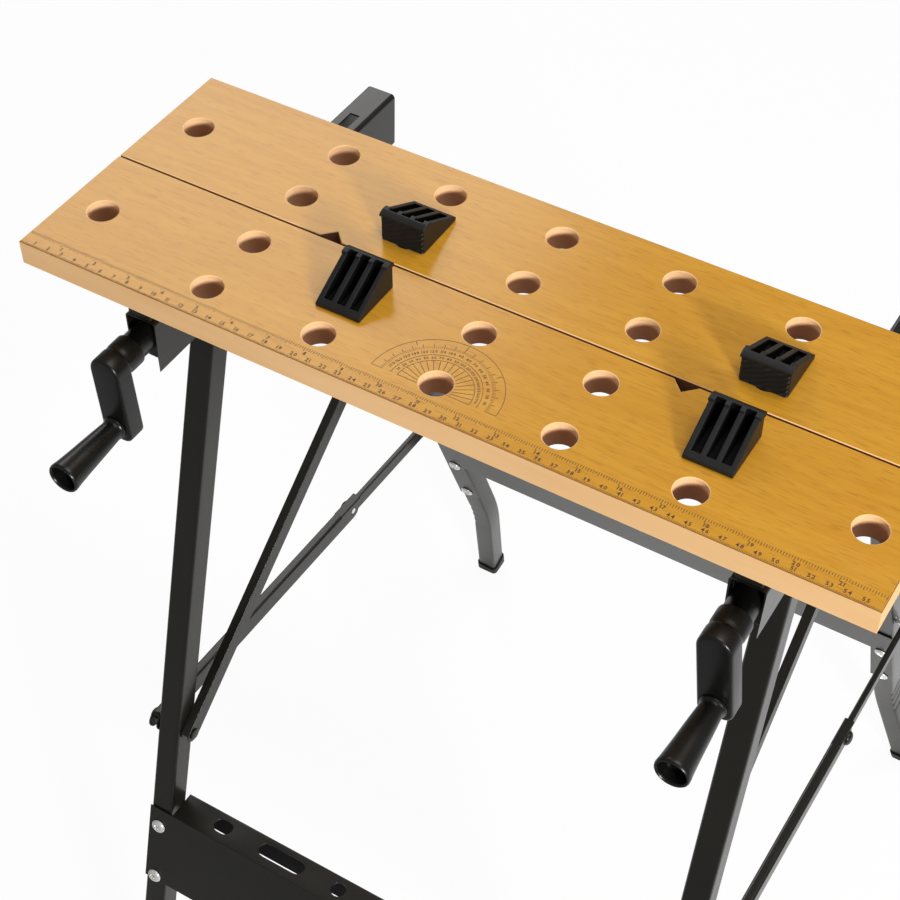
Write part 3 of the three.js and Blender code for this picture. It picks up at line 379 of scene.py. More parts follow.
def bridge(bm, first, second, closed=True):
    """Four-sided faces between two rows of points."""
    count = len(first)
    faces = []
    for i in range(count if closed else count - 1):
        j = (i + 1) % count
        faces.append(bm.faces.new((first[i], first[j], second[j], second[i])))
    return faces


def add_tube(bm, rows):
    """A skin through rows of points, with flat ends."""
    for first, second in zip(rows, rows[1:]):
        bridge(bm, first, second)
    bm.faces.new(rows[0])
    bm.faces.new(rows[-1][::-1])


def capped(profile):
    """A lathe's profile, closed on the axis at both ends."""
    return [(0, profile[0][1]), *profile, (0, profile[-1][1])]


def shifted(profile, base, way=1):
    """A lathe's profile set off from base along its axis, or back along it if way is -1."""
    return [(radius, base + way * reach) for radius, reach in profile]


def add_lathe(bm, profile, steps, matrix=Matrix()):
    """A profile of (radius, height) points turned about Y; an end on the axis closes it."""
    angles = [2 * math.pi * i / steps for i in range(steps)]
    rings = []
    for radius, height in profile:
        if radius < ON_AXIS:
            rings.append([bm.verts.new(matrix @ Vector((0, height, 0)))])
        else:
            points = [Vector((radius * math.cos(a), height, radius * math.sin(a))) for a in angles]
            rings.append([bm.verts.new(matrix @ point) for point in points])
    for low, high in zip(rings, rings[1:]):
        for i in range(steps):
            j = (i + 1) % steps
            corners = [low[i % len(low)], low[j % len(low)], high[j % len(high)], high[i % len(high)]]
            distinct = list(dict.fromkeys(corners))
            if len(distinct) > 2:
                bm.faces.new(distinct)


def add_prism(bm, profile, half, matrix):
    """A profile of (y, z) points drawn out along X to both sides."""
    ends = [[bm.verts.new(matrix @ Vector((x, y, z))) for y, z in profile] for x in (-half, half)]
    add_tube(bm, ends)


def arc(cx, cy, radius, start, end, steps):
    """Points of an arc, in degrees."""
    angles = [math.radians(start + (end - start) * i / steps) for i in range(steps + 1)]
    return [(cx + radius * math.cos(a), cy + radius * math.sin(a)) for a in angles]


def rounded_rectangle(width, height, corner, steps):
    x, y = width / 2 - corner, height / 2 - corner
    points = []
    for cx, cy, start in ((x, y, 0), (-x, y, 90), (-x, -y, 180), (x, -y, 270)):
        points += arc(cx, cy, corner, start, start + 90, steps)
    return points


def add_slab(bm, loops, levels, matrix=Matrix(), face_paint=None):
    """A slab with holes. loops(inset) gives the outline and the holes, and levels are (inset, height)
    from the bottom to the top. face_paint(kind, level, side) gives a material index for a cap, the
    outer wall or a hole."""
    paint = face_paint or (lambda kind, level, side: 0)
    stacks = []
    for inset, height in levels:
        stacks.append([[bm.verts.new(matrix @ Vector((x, y, height))) for x, y in loop]
                       for loop in loops(inset)])
    for level, (low, high) in enumerate(zip(stacks, stacks[1:])):
        for index, (a, b) in enumerate(zip(low, high)):
            for side, face in enumerate(bridge(bm, a, b)):
                face.material_index = paint("hole" if index else "wall", level, side)
    for level, stack in ((0, stacks[0]), (len(levels) - 1, stacks[-1])):
        flat = [v for loop in stack for v in loop]
        shape = [[Vector((x, y, 0)) for x, y in loop] for loop in loops(levels[level][0])]
        for triangle in tessellate_polygon(shape):
            face = bm.faces.new([flat[i] for i in triangle])
            face.material_index = paint("cap", level, 0)


def turned(degrees, axis):
    return Matrix.Rotation(math.radians(degrees), 4, axis)


def extent(node):
    """A CAD node's lowest and highest corners."""
    low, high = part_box(node)
    return low / MM, high / MM


def middle(node):
    low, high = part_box(node)
    return (low + high) / 2 / MM


# Jaws, with the ruler and the protractor printed on the front one

HOLE_RADIUS, HOLE_STEPS, HOLE_CHAMFER = 10.0, 48, 1.3
HOLE_PITCH, HOLE_SHIFT = 79.5, 2.6
HOLE_COLUMNS = [HOLE_SHIFT + HOLE_PITCH * i for i in (-2, -1, 0, 1, 2)]
HOLE_EDGE, END_HOLE_INSET = 25.0, 26.0
NOTCH_OFFSET, NOTCH_HALF, NOTCH_EDGE = 120.8, 8.0, 0.41
BOARD_EDGE, BOARD_TOP_EDGE = 0.9, 0.45
BOARD_PAINTS = ["laminate", "edge", "bore", "backing", "rim", "split_shade"]
LAMINATE, EDGE, BORE, BACKING, RIM, SPLIT_SHADE = range(len(BOARD_PAINTS))
TOP_EDGE_LEVEL = 2


def add_jaw(node, body, notch_x, notch_at_back):
    """A board with dog holes, and a V notch in the edge at the split."""
    low, high = extent(node)
    back, front = high.y, low.y
    middle_y = (front + back) / 2
    centres = [(low.x + END_HOLE_INSET, middle_y), (high.x - END_HOLE_INSET, middle_y)]
    for x in HOLE_COLUMNS:
        centres += [(x, front + HOLE_EDGE), (x, back - HOLE_EDGE)]

    def loops(inset):
        x0, x1, y0, y1 = low.x + inset, high.x - inset, front + inset, back - inset
        half = NOTCH_HALF + inset * NOTCH_EDGE
        if notch_at_back:
            notch = [(notch_x + half, y1), (notch_x, y1 - half), (notch_x - half, y1)]
            outer = [(x0, y0), (x1, y0), (x1, y1), *notch, (x0, y1)]
        else:
            notch = [(notch_x - half, y0), (notch_x, y0 + half), (notch_x + half, y0)]
            outer = [(x0, y0), *notch, (x1, y0), (x1, y1), (x0, y1)]
        radius = HOLE_RADIUS + inset * HOLE_CHAMFER
        holes = [arc(x, y, radius, 360, 0, HOLE_STEPS)[:-1] for x, y in centres]
        return [outer, *holes]

    # The outline's sides along the split, the notch's among them. Their walls are painted dark as painted
    # shade in the gap, under a top bevel in the pale edge colour that is a painted highlight.
    split_sides = (2, 3, 4, 5) if notch_at_back else (0, 1, 2, 3)

    def paint(kind, level, side):
        at_top = level == TOP_EDGE_LEVEL
        if kind == "cap":
            return LAMINATE if level else BACKING
        if kind == "hole":
            return EDGE if at_top else BORE
        # At the split: painted highlight on the top bevel, painted shade below it
        if side in split_sides:
            return EDGE if at_top else SPLIT_SHADE
        return RIM if at_top else EDGE

    bm = bmesh.new()
    levels = [(BOARD_EDGE, low.z), (0, low.z + BOARD_EDGE),
              (0, high.z - BOARD_TOP_EDGE), (BOARD_TOP_EDGE, high.z)]
    add_slab(bm, loops, levels, face_paint=paint)
    finish_mesh(node + "_board", bm, body, BOARD_PAINTS, [node], smooth=16)


PRINT_LOW, PRINT_HIGH = -0.02, 0.05
DIGIT_WEIGHT, DIGIT_CURVE_STEPS, DIGIT_WELD = 0.022, 2, 1e-5
DIGIT_SPACE = 0.26


def digit_shapes():
    """Each digit of the built-in font as points, faces and a width, one unit high."""
    shapes = {}
    for digit in "0123456789":
        curve = bpy.data.curves.new("digit", "FONT")
        curve.body = digit
        curve.resolution_u = DIGIT_CURVE_STEPS
        curve.extrude = 0.5
        curve.offset = DIGIT_WEIGHT
        text = bpy.data.objects.new("digit", curve)
        scene.collection.objects.link(text)
        bpy.context.view_layer.update()
        mesh = bpy.data.meshes.new_from_object(text.evaluated_get(bpy.context.evaluated_depsgraph_get()))
        bm = bmesh.new()
        bm.from_mesh(mesh)
        bmesh.ops.remove_doubles(bm, verts=bm.verts, dist=DIGIT_WELD)
        bm.verts.index_update()
        points = [v.co.copy() for v in bm.verts]
        xs, ys = [p.x for p in points], [p.y for p in points]
        left, foot = min(xs), min(ys)
        height = max(ys) - foot
        shapes[digit] = (
            [((p.x - left) / height, (p.y - foot) / height, p.z) for p in points],
            [[v.index for v in f.verts] for f in bm.faces],
            (max(xs) - left) / height,
        )
        bm.free()
        bpy.data.objects.remove(text)
        bpy.data.meshes.remove(mesh)
        bpy.data.curves.remove(curve)
    return shapes


DIGITS = digit_shapes()


def add_number(bm, text, size, matrix):
    """A number centred on the matrix's origin, in its XY plane."""
    width = sum(DIGITS[c][2] for c in text) + DIGIT_SPACE * (len(text) - 1)
    pen = -width / 2
    for c in text:
        points, faces, advance = DIGITS[c]
        verts = []
        for x, y, z in points:
            height = PRINT_HIGH if z > 0 else PRINT_LOW
            verts.append(bm.verts.new(matrix @ Vector(((x + pen) * size, (y - 0.5) * size, height))))
        for face in faces:
            bm.faces.new([verts[i] for i in face])
        pen += advance + DIGIT_SPACE


def add_stroke(bm, start, end, width, matrix):
    """A printed line from start to end."""
    a, b = Vector((*start, 0)), Vector((*end, 0))
    side = (b - a).normalized().cross(Vector((0, 0, 1))) * (width / 2)
    corners = [a - side, a + side, b + side, b - side]
    rows = []
    for height in (PRINT_LOW, PRINT_HIGH):
        rows.append([bm.verts.new(matrix @ (c + Vector((0, 0, height)))) for c in corners])
    add_tube(bm, rows)


def add_half_ring(bm, radius, width, steps, matrix):
    """A printed half circle about the matrix's origin."""
    inner = arc(0, 0, radius - width / 2, 0, 180, steps)
    outer = arc(0, 0, radius + width / 2, 0, 180, steps)
    section = [(inner, PRINT_LOW), (outer, PRINT_LOW), (outer, PRINT_HIGH), (inner, PRINT_HIGH)]
    rows = []
    for points, height in section:
        rows.append([bm.verts.new(matrix @ Vector((x, y, height))) for x, y in points])
    for first, second in zip(rows, rows[1:] + rows[:1]):
        bridge(bm, first, second, closed=False)
    bm.faces.new([row[0] for row in rows])
    bm.faces.new([row[-1] for row in rows][::-1])


MM_PER_CM, INCH, INCH_PARTS = 10, 25.4, 16
TICK, TICK_START = 0.34, 0.6
# How far a tick reaches, by how many steps lie between ticks of its kind
CM_TICKS = {10: 2.0, 5: 1.7, 1: 1.4}
INCH_TICKS = {16: 3.4, 8: 3.0, 4: 2.7, 2: 2.4, 1: 2.0}
CM_NUMBER_Y, INCH_NUMBER_Y, INCH_LINE_Y = 3.7, 7.2, 11.9
INCH_NUMBER_SHIFT = 2.0
NUMBER_SIZE = 2.8


def tick_reach(ticks, step):
    return next(reach for every, reach in ticks.items() if step % every == 0)


def add_ruler():
    """Centimetres along the front edge, inches behind them, both from the left end."""
    low, high = extent("front_jaw")
    home = Matrix.Translation((low.x, low.y, high.z))
    length = high.x - low.x
    bm = bmesh.new()
    for step in range(1, int(length)):
        add_stroke(bm, (step, TICK_START), (step, tick_reach(CM_TICKS, step)), TICK, home)
        if step % MM_PER_CM == 0:
            place = home @ Matrix.Translation((step, CM_NUMBER_Y, 0))
            add_number(bm, str(step // MM_PER_CM), NUMBER_SIZE, place)
    for step in range(1, math.ceil(length * INCH_PARTS / INCH)):
        x = step * INCH / INCH_PARTS
        add_stroke(bm, (x, INCH_LINE_Y), (x, INCH_LINE_Y - tick_reach(INCH_TICKS, step)), TICK, home)
        if step % INCH_PARTS == 0 and x < length - NUMBER_SIZE:
            place = home @ Matrix.Translation((x + INCH_NUMBER_SHIFT, INCH_NUMBER_Y, 0))
            add_number(bm, str(step // INCH_PARTS), NUMBER_SIZE, place)
    finish_mesh("ruler_print", bm, "top", "ink")


ARC_OUTER, ARC_MIDDLE, ARC_INNER = 40.9, 28.2, 23.6
ARC_LINE, ARC_STEPS = 0.32, 72
ARC_SHIFT = Vector((0.9, -5.1, 0))
RAY_START, SHORT_RAY_END, LONG_RAY_END = 33.4, 35.4, 37.2
SHORT_RAY_WIDTH, RAY_HOLE_GAP = 0.2, 1.0
RAY_EVERY, LONG_RAY_EVERY, CORNER_RAY_EVERY = 2, 10, 45
OUTER_NUMBERS, OUTER_NUMBER_SIZE = 31.0, 2.0
INNER_NUMBERS, INNER_NUMBER_SIZE = 25.9, 1.8


def add_protractor():
    """A half circle of degrees round the front row's middle hole, with its curve towards the split."""
    low, high = extent("front_jaw")
    home = Matrix.Translation(Vector((HOLE_SHIFT, low.y + HOLE_EDGE, high.z)) + ARC_SHIFT)
    bm = bmesh.new()
    for radius in (ARC_OUTER, ARC_MIDDLE, ARC_INNER):
        add_half_ring(bm, radius, ARC_LINE, ARC_STEPS, home)

    def aim(degrees):
        return Vector((math.cos(math.radians(degrees)), math.sin(math.radians(degrees))))

    def ray(degrees, start, end, width=TICK):
        add_stroke(bm, aim(degrees) * start, aim(degrees) * end, width, home)

    def hole_edge(degrees):
        """How far out a ray leaves the hole's rim."""
        along = aim(degrees).dot(ARC_SHIFT.xy)
        rim = HOLE_RADIUS + RAY_HOLE_GAP
        return math.sqrt(along ** 2 - ARC_SHIFT.length_squared + rim ** 2) - along

    def number(degrees, text, distance, size):
        turn = turned(degrees - 90, "Z")
        add_number(bm, text, size, home @ turn @ Matrix.Translation((0, distance, 0)))

    for degrees in range(0, 181, RAY_EVERY):
        if degrees % LONG_RAY_EVERY:
            ray(degrees, RAY_START, SHORT_RAY_END, SHORT_RAY_WIDTH)
            continue
        ray(degrees, hole_edge(degrees), ARC_INNER)
        ray(degrees, RAY_START, LONG_RAY_END)
        if 0 < degrees < 180:
            number(degrees, str(degrees), OUTER_NUMBERS, OUTER_NUMBER_SIZE)
            number(degrees, str(180 - degrees), INNER_NUMBERS, INNER_NUMBER_SIZE)
    for degrees in range(0, 181, CORNER_RAY_EVERY):
        ray(degrees, LONG_RAY_END, ARC_OUTER, ARC_LINE)
    finish_mesh("protractor_print", bm, "top", "ink")


# Bench dogs

DOG_WIDTH, DOG_HEIGHT, DOG_TOE = 30.5, 20.6, 2.8
DOG_FACE, DOG_BACK, DOG_LIP, DOG_LIP_DROP = 9.4, -28.9, 1.2, 1.9
DOG_CREST, DOG_BAND, DOG_BAND_DROP, DOG_STEP = 3.4, 8.2, 0.5, 1.3
DOG_WALL, DOG_EAR = 1.6, 0.7
DOG_RIB, DOG_FLOOR, DOG_SLOT_END, DOG_SLOTS = 3.4, 1.6, 4.0, 3
DOG_SEAT, DOG_ROUND, DOG_ROUND_STEPS = 0.2, 0.5, 3
# The peg's radius at heights from its tip up
DOG_PEG = [(8.2, -17.0), (9.5, -15.6), (9.5, -9.0), (8.9, -8.6), (8.9, -7.4), (9.5, -7.0), (9.5, 0.1)]
PEG_STEPS = 40
GROOVE_PITCH, GROOVE_DEPTH, GROOVE_SLANT = 3.3, 1.3, math.radians(28)
GROOVE_MARGIN, GROOVE_FADE, GROOVE_COLUMNS, GROOVE_ROWS = 0.5, 0.9, 72, 44
GROOVE_SHARP, GROOVE_FOOT, GROOVE_PROUD = 1.3, 0.9, 0.05
GROOVE_WAVER, GROOVE_WAVER_RATE = 0.06, 0.55
# Places in the list of paints of a piece whose hollows are painted near black, as painted shade
SKIN, SHADED_HOLLOW = 0, 1


def dog_home(node):
    """The peg's axis at the board's face, with the gripping face towards +Y."""
    low, high = extent(node)
    rear = node.startswith("rear")
    y = high.y + DOG_BACK if rear else low.y - DOG_BACK
    turn = turned(180 if rear else 0, "Z")
    return Matrix.Translation(((low.x + high.x) / 2, y, high.z - DOG_HEIGHT)) @ turn


def add_dog(node):
    """A wedge with three slots, a lipped crest and a grooved gripping face, on a round peg."""
    home = dog_home(node)
    face, lip_z = DOG_FACE - DOG_LIP, DOG_HEIGHT - DOG_LIP_DROP
    crest, band = DOG_FACE - DOG_CREST, DOG_FACE - DOG_BAND
    band_z = DOG_HEIGHT - DOG_BAND_DROP
    rib_z = band_z - DOG_STEP
    grip_top = lip_z - 2 * DOG_LIP
    slot_front = DOG_BACK + DOG_SLOT_END
    rise = (rib_z - DOG_TOE) / (band - DOG_BACK)
    slope = [(DOG_BACK, DOG_TOE), (slot_front, DOG_TOE + rise * DOG_SLOT_END), (band, rib_z)]
    tooth = (band, band_z)
    slot_back = crest - DOG_WALL
    slot_top = (slot_back, DOG_HEIGHT - DOG_BAND_DROP * DOG_WALL / (crest - band))
    crown = [(crest, DOG_HEIGHT), (DOG_FACE, lip_z), (face, grip_top), (face, DOG_SEAT)]
    ear = [(band, rib_z - DOG_STEP), tooth, *crown[:2], (DOG_FACE, lip_z - DOG_LIP), (face, grip_top)]
    solid = [(DOG_BACK, DOG_SEAT), *slope, tooth, slot_top, *crown]
    floor = [(slot_front, DOG_FLOOR), (slot_back, DOG_FLOOR)]
    slotted = [(DOG_BACK, DOG_SEAT), *slope[:2], *floor, slot_top, *crown]
    pocket = [*floor, slot_top, tooth, slope[2], slope[1]]
    gap = (DOG_WIDTH - (DOG_SLOTS + 1) * DOG_RIB) / DOG_SLOTS
    bays = 2 * DOG_SLOTS + 1
    edges = [-DOG_WIDTH / 2]
    for i in range(bays):
        edges.append(edges[-1] + (gap if i % 2 else DOG_RIB))

    bm = bmesh.new()
    grid = {}

    def point(station, corner):
        key = (station, corner)
        if key not in grid:
            grid[key] = bm.verts.new(home @ Vector((edges[station], *corner)))
        return grid[key]

    # Slot floors and walls take the near-black plastic: painted shade
    slot_lines = {frozenset(pair) for pair in zip(slotted[2:5], slotted[3:6])}
    for i in range(bays):
        profile = slotted if i % 2 else solid
        for a, b in zip(profile, profile[1:] + profile[:1]):
            strip = bm.faces.new((point(i, a), point(i, b), point(i + 1, b), point(i + 1, a)))
            strip.material_index = SHADED_HOLLOW if frozenset((a, b)) in slot_lines else SKIN
    for end in (0, bays):
        bm.faces.new([point(end, c) for c in solid])
    for wall in range(1, bays):
        bm.faces.new([point(wall, c) for c in pocket]).material_index = SHADED_HOLLOW
    for end in (-DOG_WIDTH / 2, DOG_WIDTH / 2):
        add_prism(bm, ear, DOG_EAR, home @ Matrix.Translation((end, 0, 0)))
    finish_mesh(node + "_wedge", bm, node, ["matte", "recess"], [node],
                bevel=DOG_ROUND, bevel_steps=DOG_ROUND_STEPS)
    add_peg(node, home)
    add_grooves(node, home, face, grip_top)


def add_peg(node, home):
    """A dog's round peg, with a chamfered tip and a shallow neck."""
    bm = bmesh.new()
    add_lathe(bm, capped(DOG_PEG), PEG_STEPS, home @ turned(90, "X"))
    finish_mesh(node + "_peg", bm, node, "matte")


def add_grooves(node, home, face, top):
    """The slanted ridges of the gripping face, fading out at its rim."""
    half, foot = DOG_WIDTH / 2 - GROOVE_MARGIN, DOG_SEAT
    height = top - GROOVE_MARGIN - foot
    bm = bmesh.new()

    def grip(i, k):
        x = half * (2 * i / GROOVE_COLUMNS - 1)
        z = foot + height * k / GROOVE_ROWS
        across = (z * math.cos(GROOVE_SLANT) + x * math.sin(GROOVE_SLANT)) / GROOVE_PITCH
        across += GROOVE_WAVER * math.sin(GROOVE_WAVER_RATE * x)
        ridge = 0.5 + 0.5 * math.cos(2 * math.pi * across)
        fade = min(half - abs(x), foot + height - z) / GROOVE_FADE
        base = max(0, 1 - (z - foot) / GROOVE_FADE)
        lift = (1 - base) * ridge ** GROOVE_SHARP + base * GROOVE_FOOT
        return Vector((x, face + GROOVE_PROUD + GROOVE_DEPTH * lift * min(1, fade), z))

    front = []
    for k in range(GROOVE_ROWS + 1):
        front.append([bm.verts.new(home @ grip(i, k)) for i in range(GROOVE_COLUMNS + 1)])
    for low_row, high_row in zip(front, front[1:]):
        bridge(bm, low_row, high_row, closed=False)
    right = [row[-1] for row in front[1:-1]]
    left = [row[0] for row in front[-2:0:-1]]
    rim = front[0] + right + front[-1][::-1] + left
    inward = home.to_3x3() @ Vector((0, -DOG_LIP / 2, 0))
    sunk = [bm.verts.new(v.co + inward) for v in rim]
    bridge(bm, rim, sunk)
    bm.faces.new(sunk)
    finish_mesh(node + "_grooves", bm, node, "matte", smooth=60)


# Cranks, grips and clamp screws. Each list of pairs is (radius, distance along the axis).

ARM_WIDTH, ARM_CORNER, ARM_ROUND = 22.0, 6.0, 2.2
ARM_BACK, ARM_FRONT = -31.0, -45.0
ARM_TOP_STEPS, ARM_CORNER_STEPS, ARM_ROUND_STEPS = 28, 8, 5
CRANK_REACH, CRANK_STEPS = 44.0, 56
CRANK_ANGLES = {"left": 2.6, "right": 6.5}
HUB = [(8.7, 0.3), (9.4, 1.0), (9.4, 16.8), (9.7, 17.3), (10.3, 17.6), (10.8, 18.2), (10.9, 19.0),
       (10.9, 27.6), (10.6, 29.4), (10.2, 31.0), (10.2, 33.0)]
PIN_RADIUS, PIN_STEPS = 3.5, 40
PIN_SEAT = [(9.4, -2.0), (9.4, 0.02), (8.9, 0.14), (PIN_RADIUS, 0.14)]
PIN_HEAD, PIN_HEAD_STEPS = [(0, 0), (5.3, 0), (5.5, 0.4), (5.5, 1.2), (4.8, 1.8), (0, 2.0)], 32
GRIP_BASE, GRIP_END, GRIP_FLOOR = -45.3, -97.0, -88.1
GRIP_BORE, GRIP_WELL, GRIP_PLAY = 3.65, 8.2, 0.1
GRIP_COLLAR = [(7.9, 0), (8.3, 0.4), (8.3, 1.5), (7.9, 2.1), (7.5, 2.7), (7.35, 4.7), (8.2, 16.0)]
GRIP_FLARE = [(9.4, 17.0), (10.2, 7.0), (10.7, 3.0), (10.8, 1.6)]
GRIP_MOUTH = [(10.6, 0.6), (10.1, 0), (9.3, 0), (8.8, 0.6), (8.5, 1.6), (8.3, 5.0)]
ROD_RADIUS, ROD_CORE, ROD_CHAMFER, ROD_STEPS = 4.5, 3.7, 0.5, 24
COLLAR_OFFSET = 1.6
COLLAR = [(ROD_RADIUS, 0), (7.1, 0), (7.4, 0.4), (7.4, 3.4), (7.1, 3.8), (ROD_RADIUS, 3.8),
          (ROD_RADIUS, 6.4), (ROD_CORE, 7.4)]
THREAD_PITCH, THREAD_STEPS, THREAD_START = 4.0, 20, 8.5
THREAD_ROOT, THREAD_ROOT_HALF, THREAD_CREST_HALF = 3.4, 0.36, 0.14
THREAD_SECTION = [(THREAD_ROOT, -THREAD_ROOT_HALF), (ROD_RADIUS, -THREAD_CREST_HALF),
                  (ROD_RADIUS, THREAD_CREST_HALF), (THREAD_ROOT, THREAD_ROOT_HALF)]


def plate_front(side):
    """Where the end plate's front face lies along Y."""
    return extent("end_plate_" + side)[0].y


def crank_home(side):
    axis = middle("clamp_screw_" + side)
    turn = turned(-CRANK_ANGLES[side], "Y")
    return Matrix.Translation((axis.x, plate_front(side), axis.z)) @ turn


def add_crank(side):
    """The arm with its hub and the grip's pin."""
    home, body = crank_home(side), "crank_" + side
    bm = bmesh.new()
    quarter = [math.radians(90 * i / ARM_ROUND_STEPS) for i in range(ARM_ROUND_STEPS + 1)]
    start = [(ARM_ROUND * (1 - math.sin(a)), ARM_ROUND * (1 - math.cos(a))) for a in quarter]
    depth = ARM_BACK - ARM_FRONT
    levels = start + [(inset, depth - height) for inset, height in reversed(start)]

    def loops(inset):
        half, corner = ARM_WIDTH / 2 - inset, ARM_CORNER - inset
        side_x, foot = half - corner, corner - half - CRANK_REACH
        return [[*arc(0, 0, half, 0, 180, ARM_TOP_STEPS),
                 *arc(-side_x, foot, corner, 180, 270, ARM_CORNER_STEPS),
                 *arc(side_x, foot, corner, 270, 360, ARM_CORNER_STEPS)]]

    stand = Matrix.Translation((0, ARM_BACK, 0)) @ turned(90, "X")
    add_slab(bm, loops, levels, home @ stand)
    add_lathe(bm, capped(shifted(HUB, 0, -1)), CRANK_STEPS, home)
    pin_end = GRIP_FLOOR - GRIP_PLAY
    shoulder = [*shifted(PIN_SEAT, ARM_FRONT, -1), (PIN_RADIUS, pin_end)]
    pin = home @ Matrix.Translation((0, 0, -CRANK_REACH))
    add_lathe(bm, capped(shoulder), PIN_STEPS, pin)
    add_lathe(bm, shifted(PIN_HEAD, pin_end, -1), PIN_HEAD_STEPS, pin)
    finish_mesh(body + "_arm", bm, body, "gloss", [body], smooth=40)
    add_grip("crank_grip_" + side, pin)


def add_grip(node, pin):
    """A loose hollow grip, flared to its open end."""
    outside = shifted(GRIP_COLLAR, GRIP_BASE, -1)
    mouth = shifted(GRIP_FLARE + GRIP_MOUTH, GRIP_END)
    well = [(GRIP_WELL, GRIP_FLOOR), (GRIP_BORE, GRIP_FLOOR), (GRIP_BORE, GRIP_BASE)]
    bm = bmesh.new()
    add_lathe(bm, [(GRIP_BORE, GRIP_BASE), *outside, *mouth, *well], CRANK_STEPS, pin)
    bmesh.ops.remove_doubles(bm, verts=bm.verts, dist=WELD)
    finish_mesh(node + "_handle", bm, node, "gloss", [node], smooth=40)


def add_clamp_screw(side):
    """A rod with a rolled thread and a thrust collar."""
    node, body = "clamp_screw_" + side, "crank_" + side
    low, high = extent(node)
    axis = middle(node)
    home = Matrix.Translation((axis.x, 0, axis.z))
    collar = plate_front(side) + COLLAR_OFFSET
    rod = [(ROD_RADIUS - ROD_CHAMFER, low.y), (ROD_RADIUS, low.y + ROD_CHAMFER),
           *shifted(COLLAR, collar), (ROD_CORE, high.y)]
    bm = bmesh.new()
    add_lathe(bm, capped(rod), ROD_STEPS, home)
    start, end = collar + THREAD_START, high.y - THREAD_PITCH / 2
    count = int((end - start) / THREAD_PITCH * THREAD_STEPS)
    rows = []
    for i in range(count + 1):
        angle = 2 * math.pi * i / THREAD_STEPS
        y = start + THREAD_PITCH * i / THREAD_STEPS
        row = []
        for radius, share in THREAD_SECTION:
            place = Vector((radius * math.cos(angle), y + THREAD_PITCH * share, radius * math.sin(angle)))
            row.append(bm.verts.new(home @ place))
        rows.append(row)
    add_tube(bm, rows)
    finish_mesh(node + "_rod", bm, body, "zinc", [node], smooth=30)


# Rear legs

LEG_WIDTH, LEG_DEPTH, LEG_CORNER, LEG_CORNER_STEPS = 19.0, 19.7, 2.5, 5
LEG_SOLE, LEG_TOP_EDGE, LEG_TOP_STEPS = 6.0, 0.4, 40
REAR_SPLAY, REAR_TILT = 0.66, 22.12
REAR_FOOT_SPLAY, REAR_FOOT_TILT = 9.0, 19.8
REAR_BEND_HEIGHT, REAR_BEND, BEND_STEPS = 153.0, 27.0, 36
CRIMPS, CRIMP_DEPTH, CRIMP_FROM = 4, 0.9, 0.55


def leaning(splay, tilt, way):
    """A leg's direction, one unit down."""
    return Vector((way * math.tan(math.radians(splay)), math.tan(math.radians(tilt)), -1))


def add_rear_leg(side):
    """A square tube bent outwards near its foot, with press crimps along the bend."""
    way = 1 if side == "right" else -1
    bolt = middle("rear_pivot_bolt_" + side)
    pivot = Vector((middle("channel_" + side).x, bolt.y, bolt.z))
    upper = leaning(REAR_SPLAY, REAR_TILT, way)
    lower = leaning(REAR_FOOT_SPLAY, REAR_FOOT_TILT, way)
    bend = pivot + upper * (pivot.z - REAR_BEND_HEIGHT)
    before, after = bend - upper * REAR_BEND, bend + lower * REAR_BEND
    stations = [(pivot, upper, 0)]
    for i in range(BEND_STEPS + 1):
        t = i / BEND_STEPS
        point = before * (1 - t) ** 2 + bend * 2 * t * (1 - t) + after * t ** 2
        stations.append((point, upper.lerp(lower, t), CRIMP_DEPTH * math.sin(math.pi * CRIMPS * t) ** 2))
    stations.append((bend + lower * (bend.z - LEG_SOLE), lower, 0))

    bm = bmesh.new()
    rows = []
    for point, direction, crimp in stations:
        along = direction.normalized()
        forward = along.cross(Vector((1, 0, 0))).normalized()
        across = forward.cross(along)
        row = []
        for u, v in rounded_rectangle(LEG_WIDTH, LEG_DEPTH, LEG_CORNER, LEG_CORNER_STEPS):
            share = max(0, 2 * u * way / LEG_WIDTH - CRIMP_FROM) / (1 - CRIMP_FROM)
            row.append(bm.verts.new(point + across * (u - way * crimp * share) + forward * v))
        rows.append(row)
    add_tube(bm, rows)
    half, round_top = LEG_WIDTH / 2, LEG_DEPTH / 2
    top = [(round_top - LEG_TOP_EDGE, -half), (round_top, LEG_TOP_EDGE - half),
           (round_top, half - LEG_TOP_EDGE), (round_top - LEG_TOP_EDGE, half)]
    sideways = Matrix.Translation(pivot) @ turned(90, "Z")
    add_lathe(bm, capped(top), LEG_TOP_STEPS, sideways)
    finish_mesh(f"rear_leg_{side}_tube", bm, "rear_legs", "steel", [f"rear_leg_{side}"], smooth=32)


# Folding braces

BRACE_BEND, BRACE_TAIL_BEND, BRACE_TAIL_LENGTH = 2.2, 1.0, 18.0
REAR_HALF_BEND = 1.6
SHEET_BEND_STEPS, SHEET_EDGE = 5, 0.25
SHEET_WELD, FLAT_WITHIN = 0.002, 0.5
SQUARE_TO, ROUND_PROFILE = 0.9, 0.5


def copied_sheet(node):
    """A CAD node's mesh in millimetres, welded, with each flat face in one piece."""
    bm = bmesh.new()
    bm.from_mesh(nodes[node].data)
    bm.transform(Matrix.Scale(1 / MM, 4))
    bmesh.ops.remove_doubles(bm, verts=bm.verts, dist=SHEET_WELD)
    bmesh.ops.dissolve_limit(bm, angle_limit=math.radians(FLAT_WITHIN), verts=bm.verts, edges=bm.edges)
    bmesh.ops.recalc_face_normals(bm, faces=bm.faces)
    return bm


def link_line(start_node, end_node):
    """A link's first pivot, its direction and its length, square to X."""
    start, end = middle(start_node), middle(end_node)
    end.x = start.x
    return start, (end - start).normalized(), (end - start).length


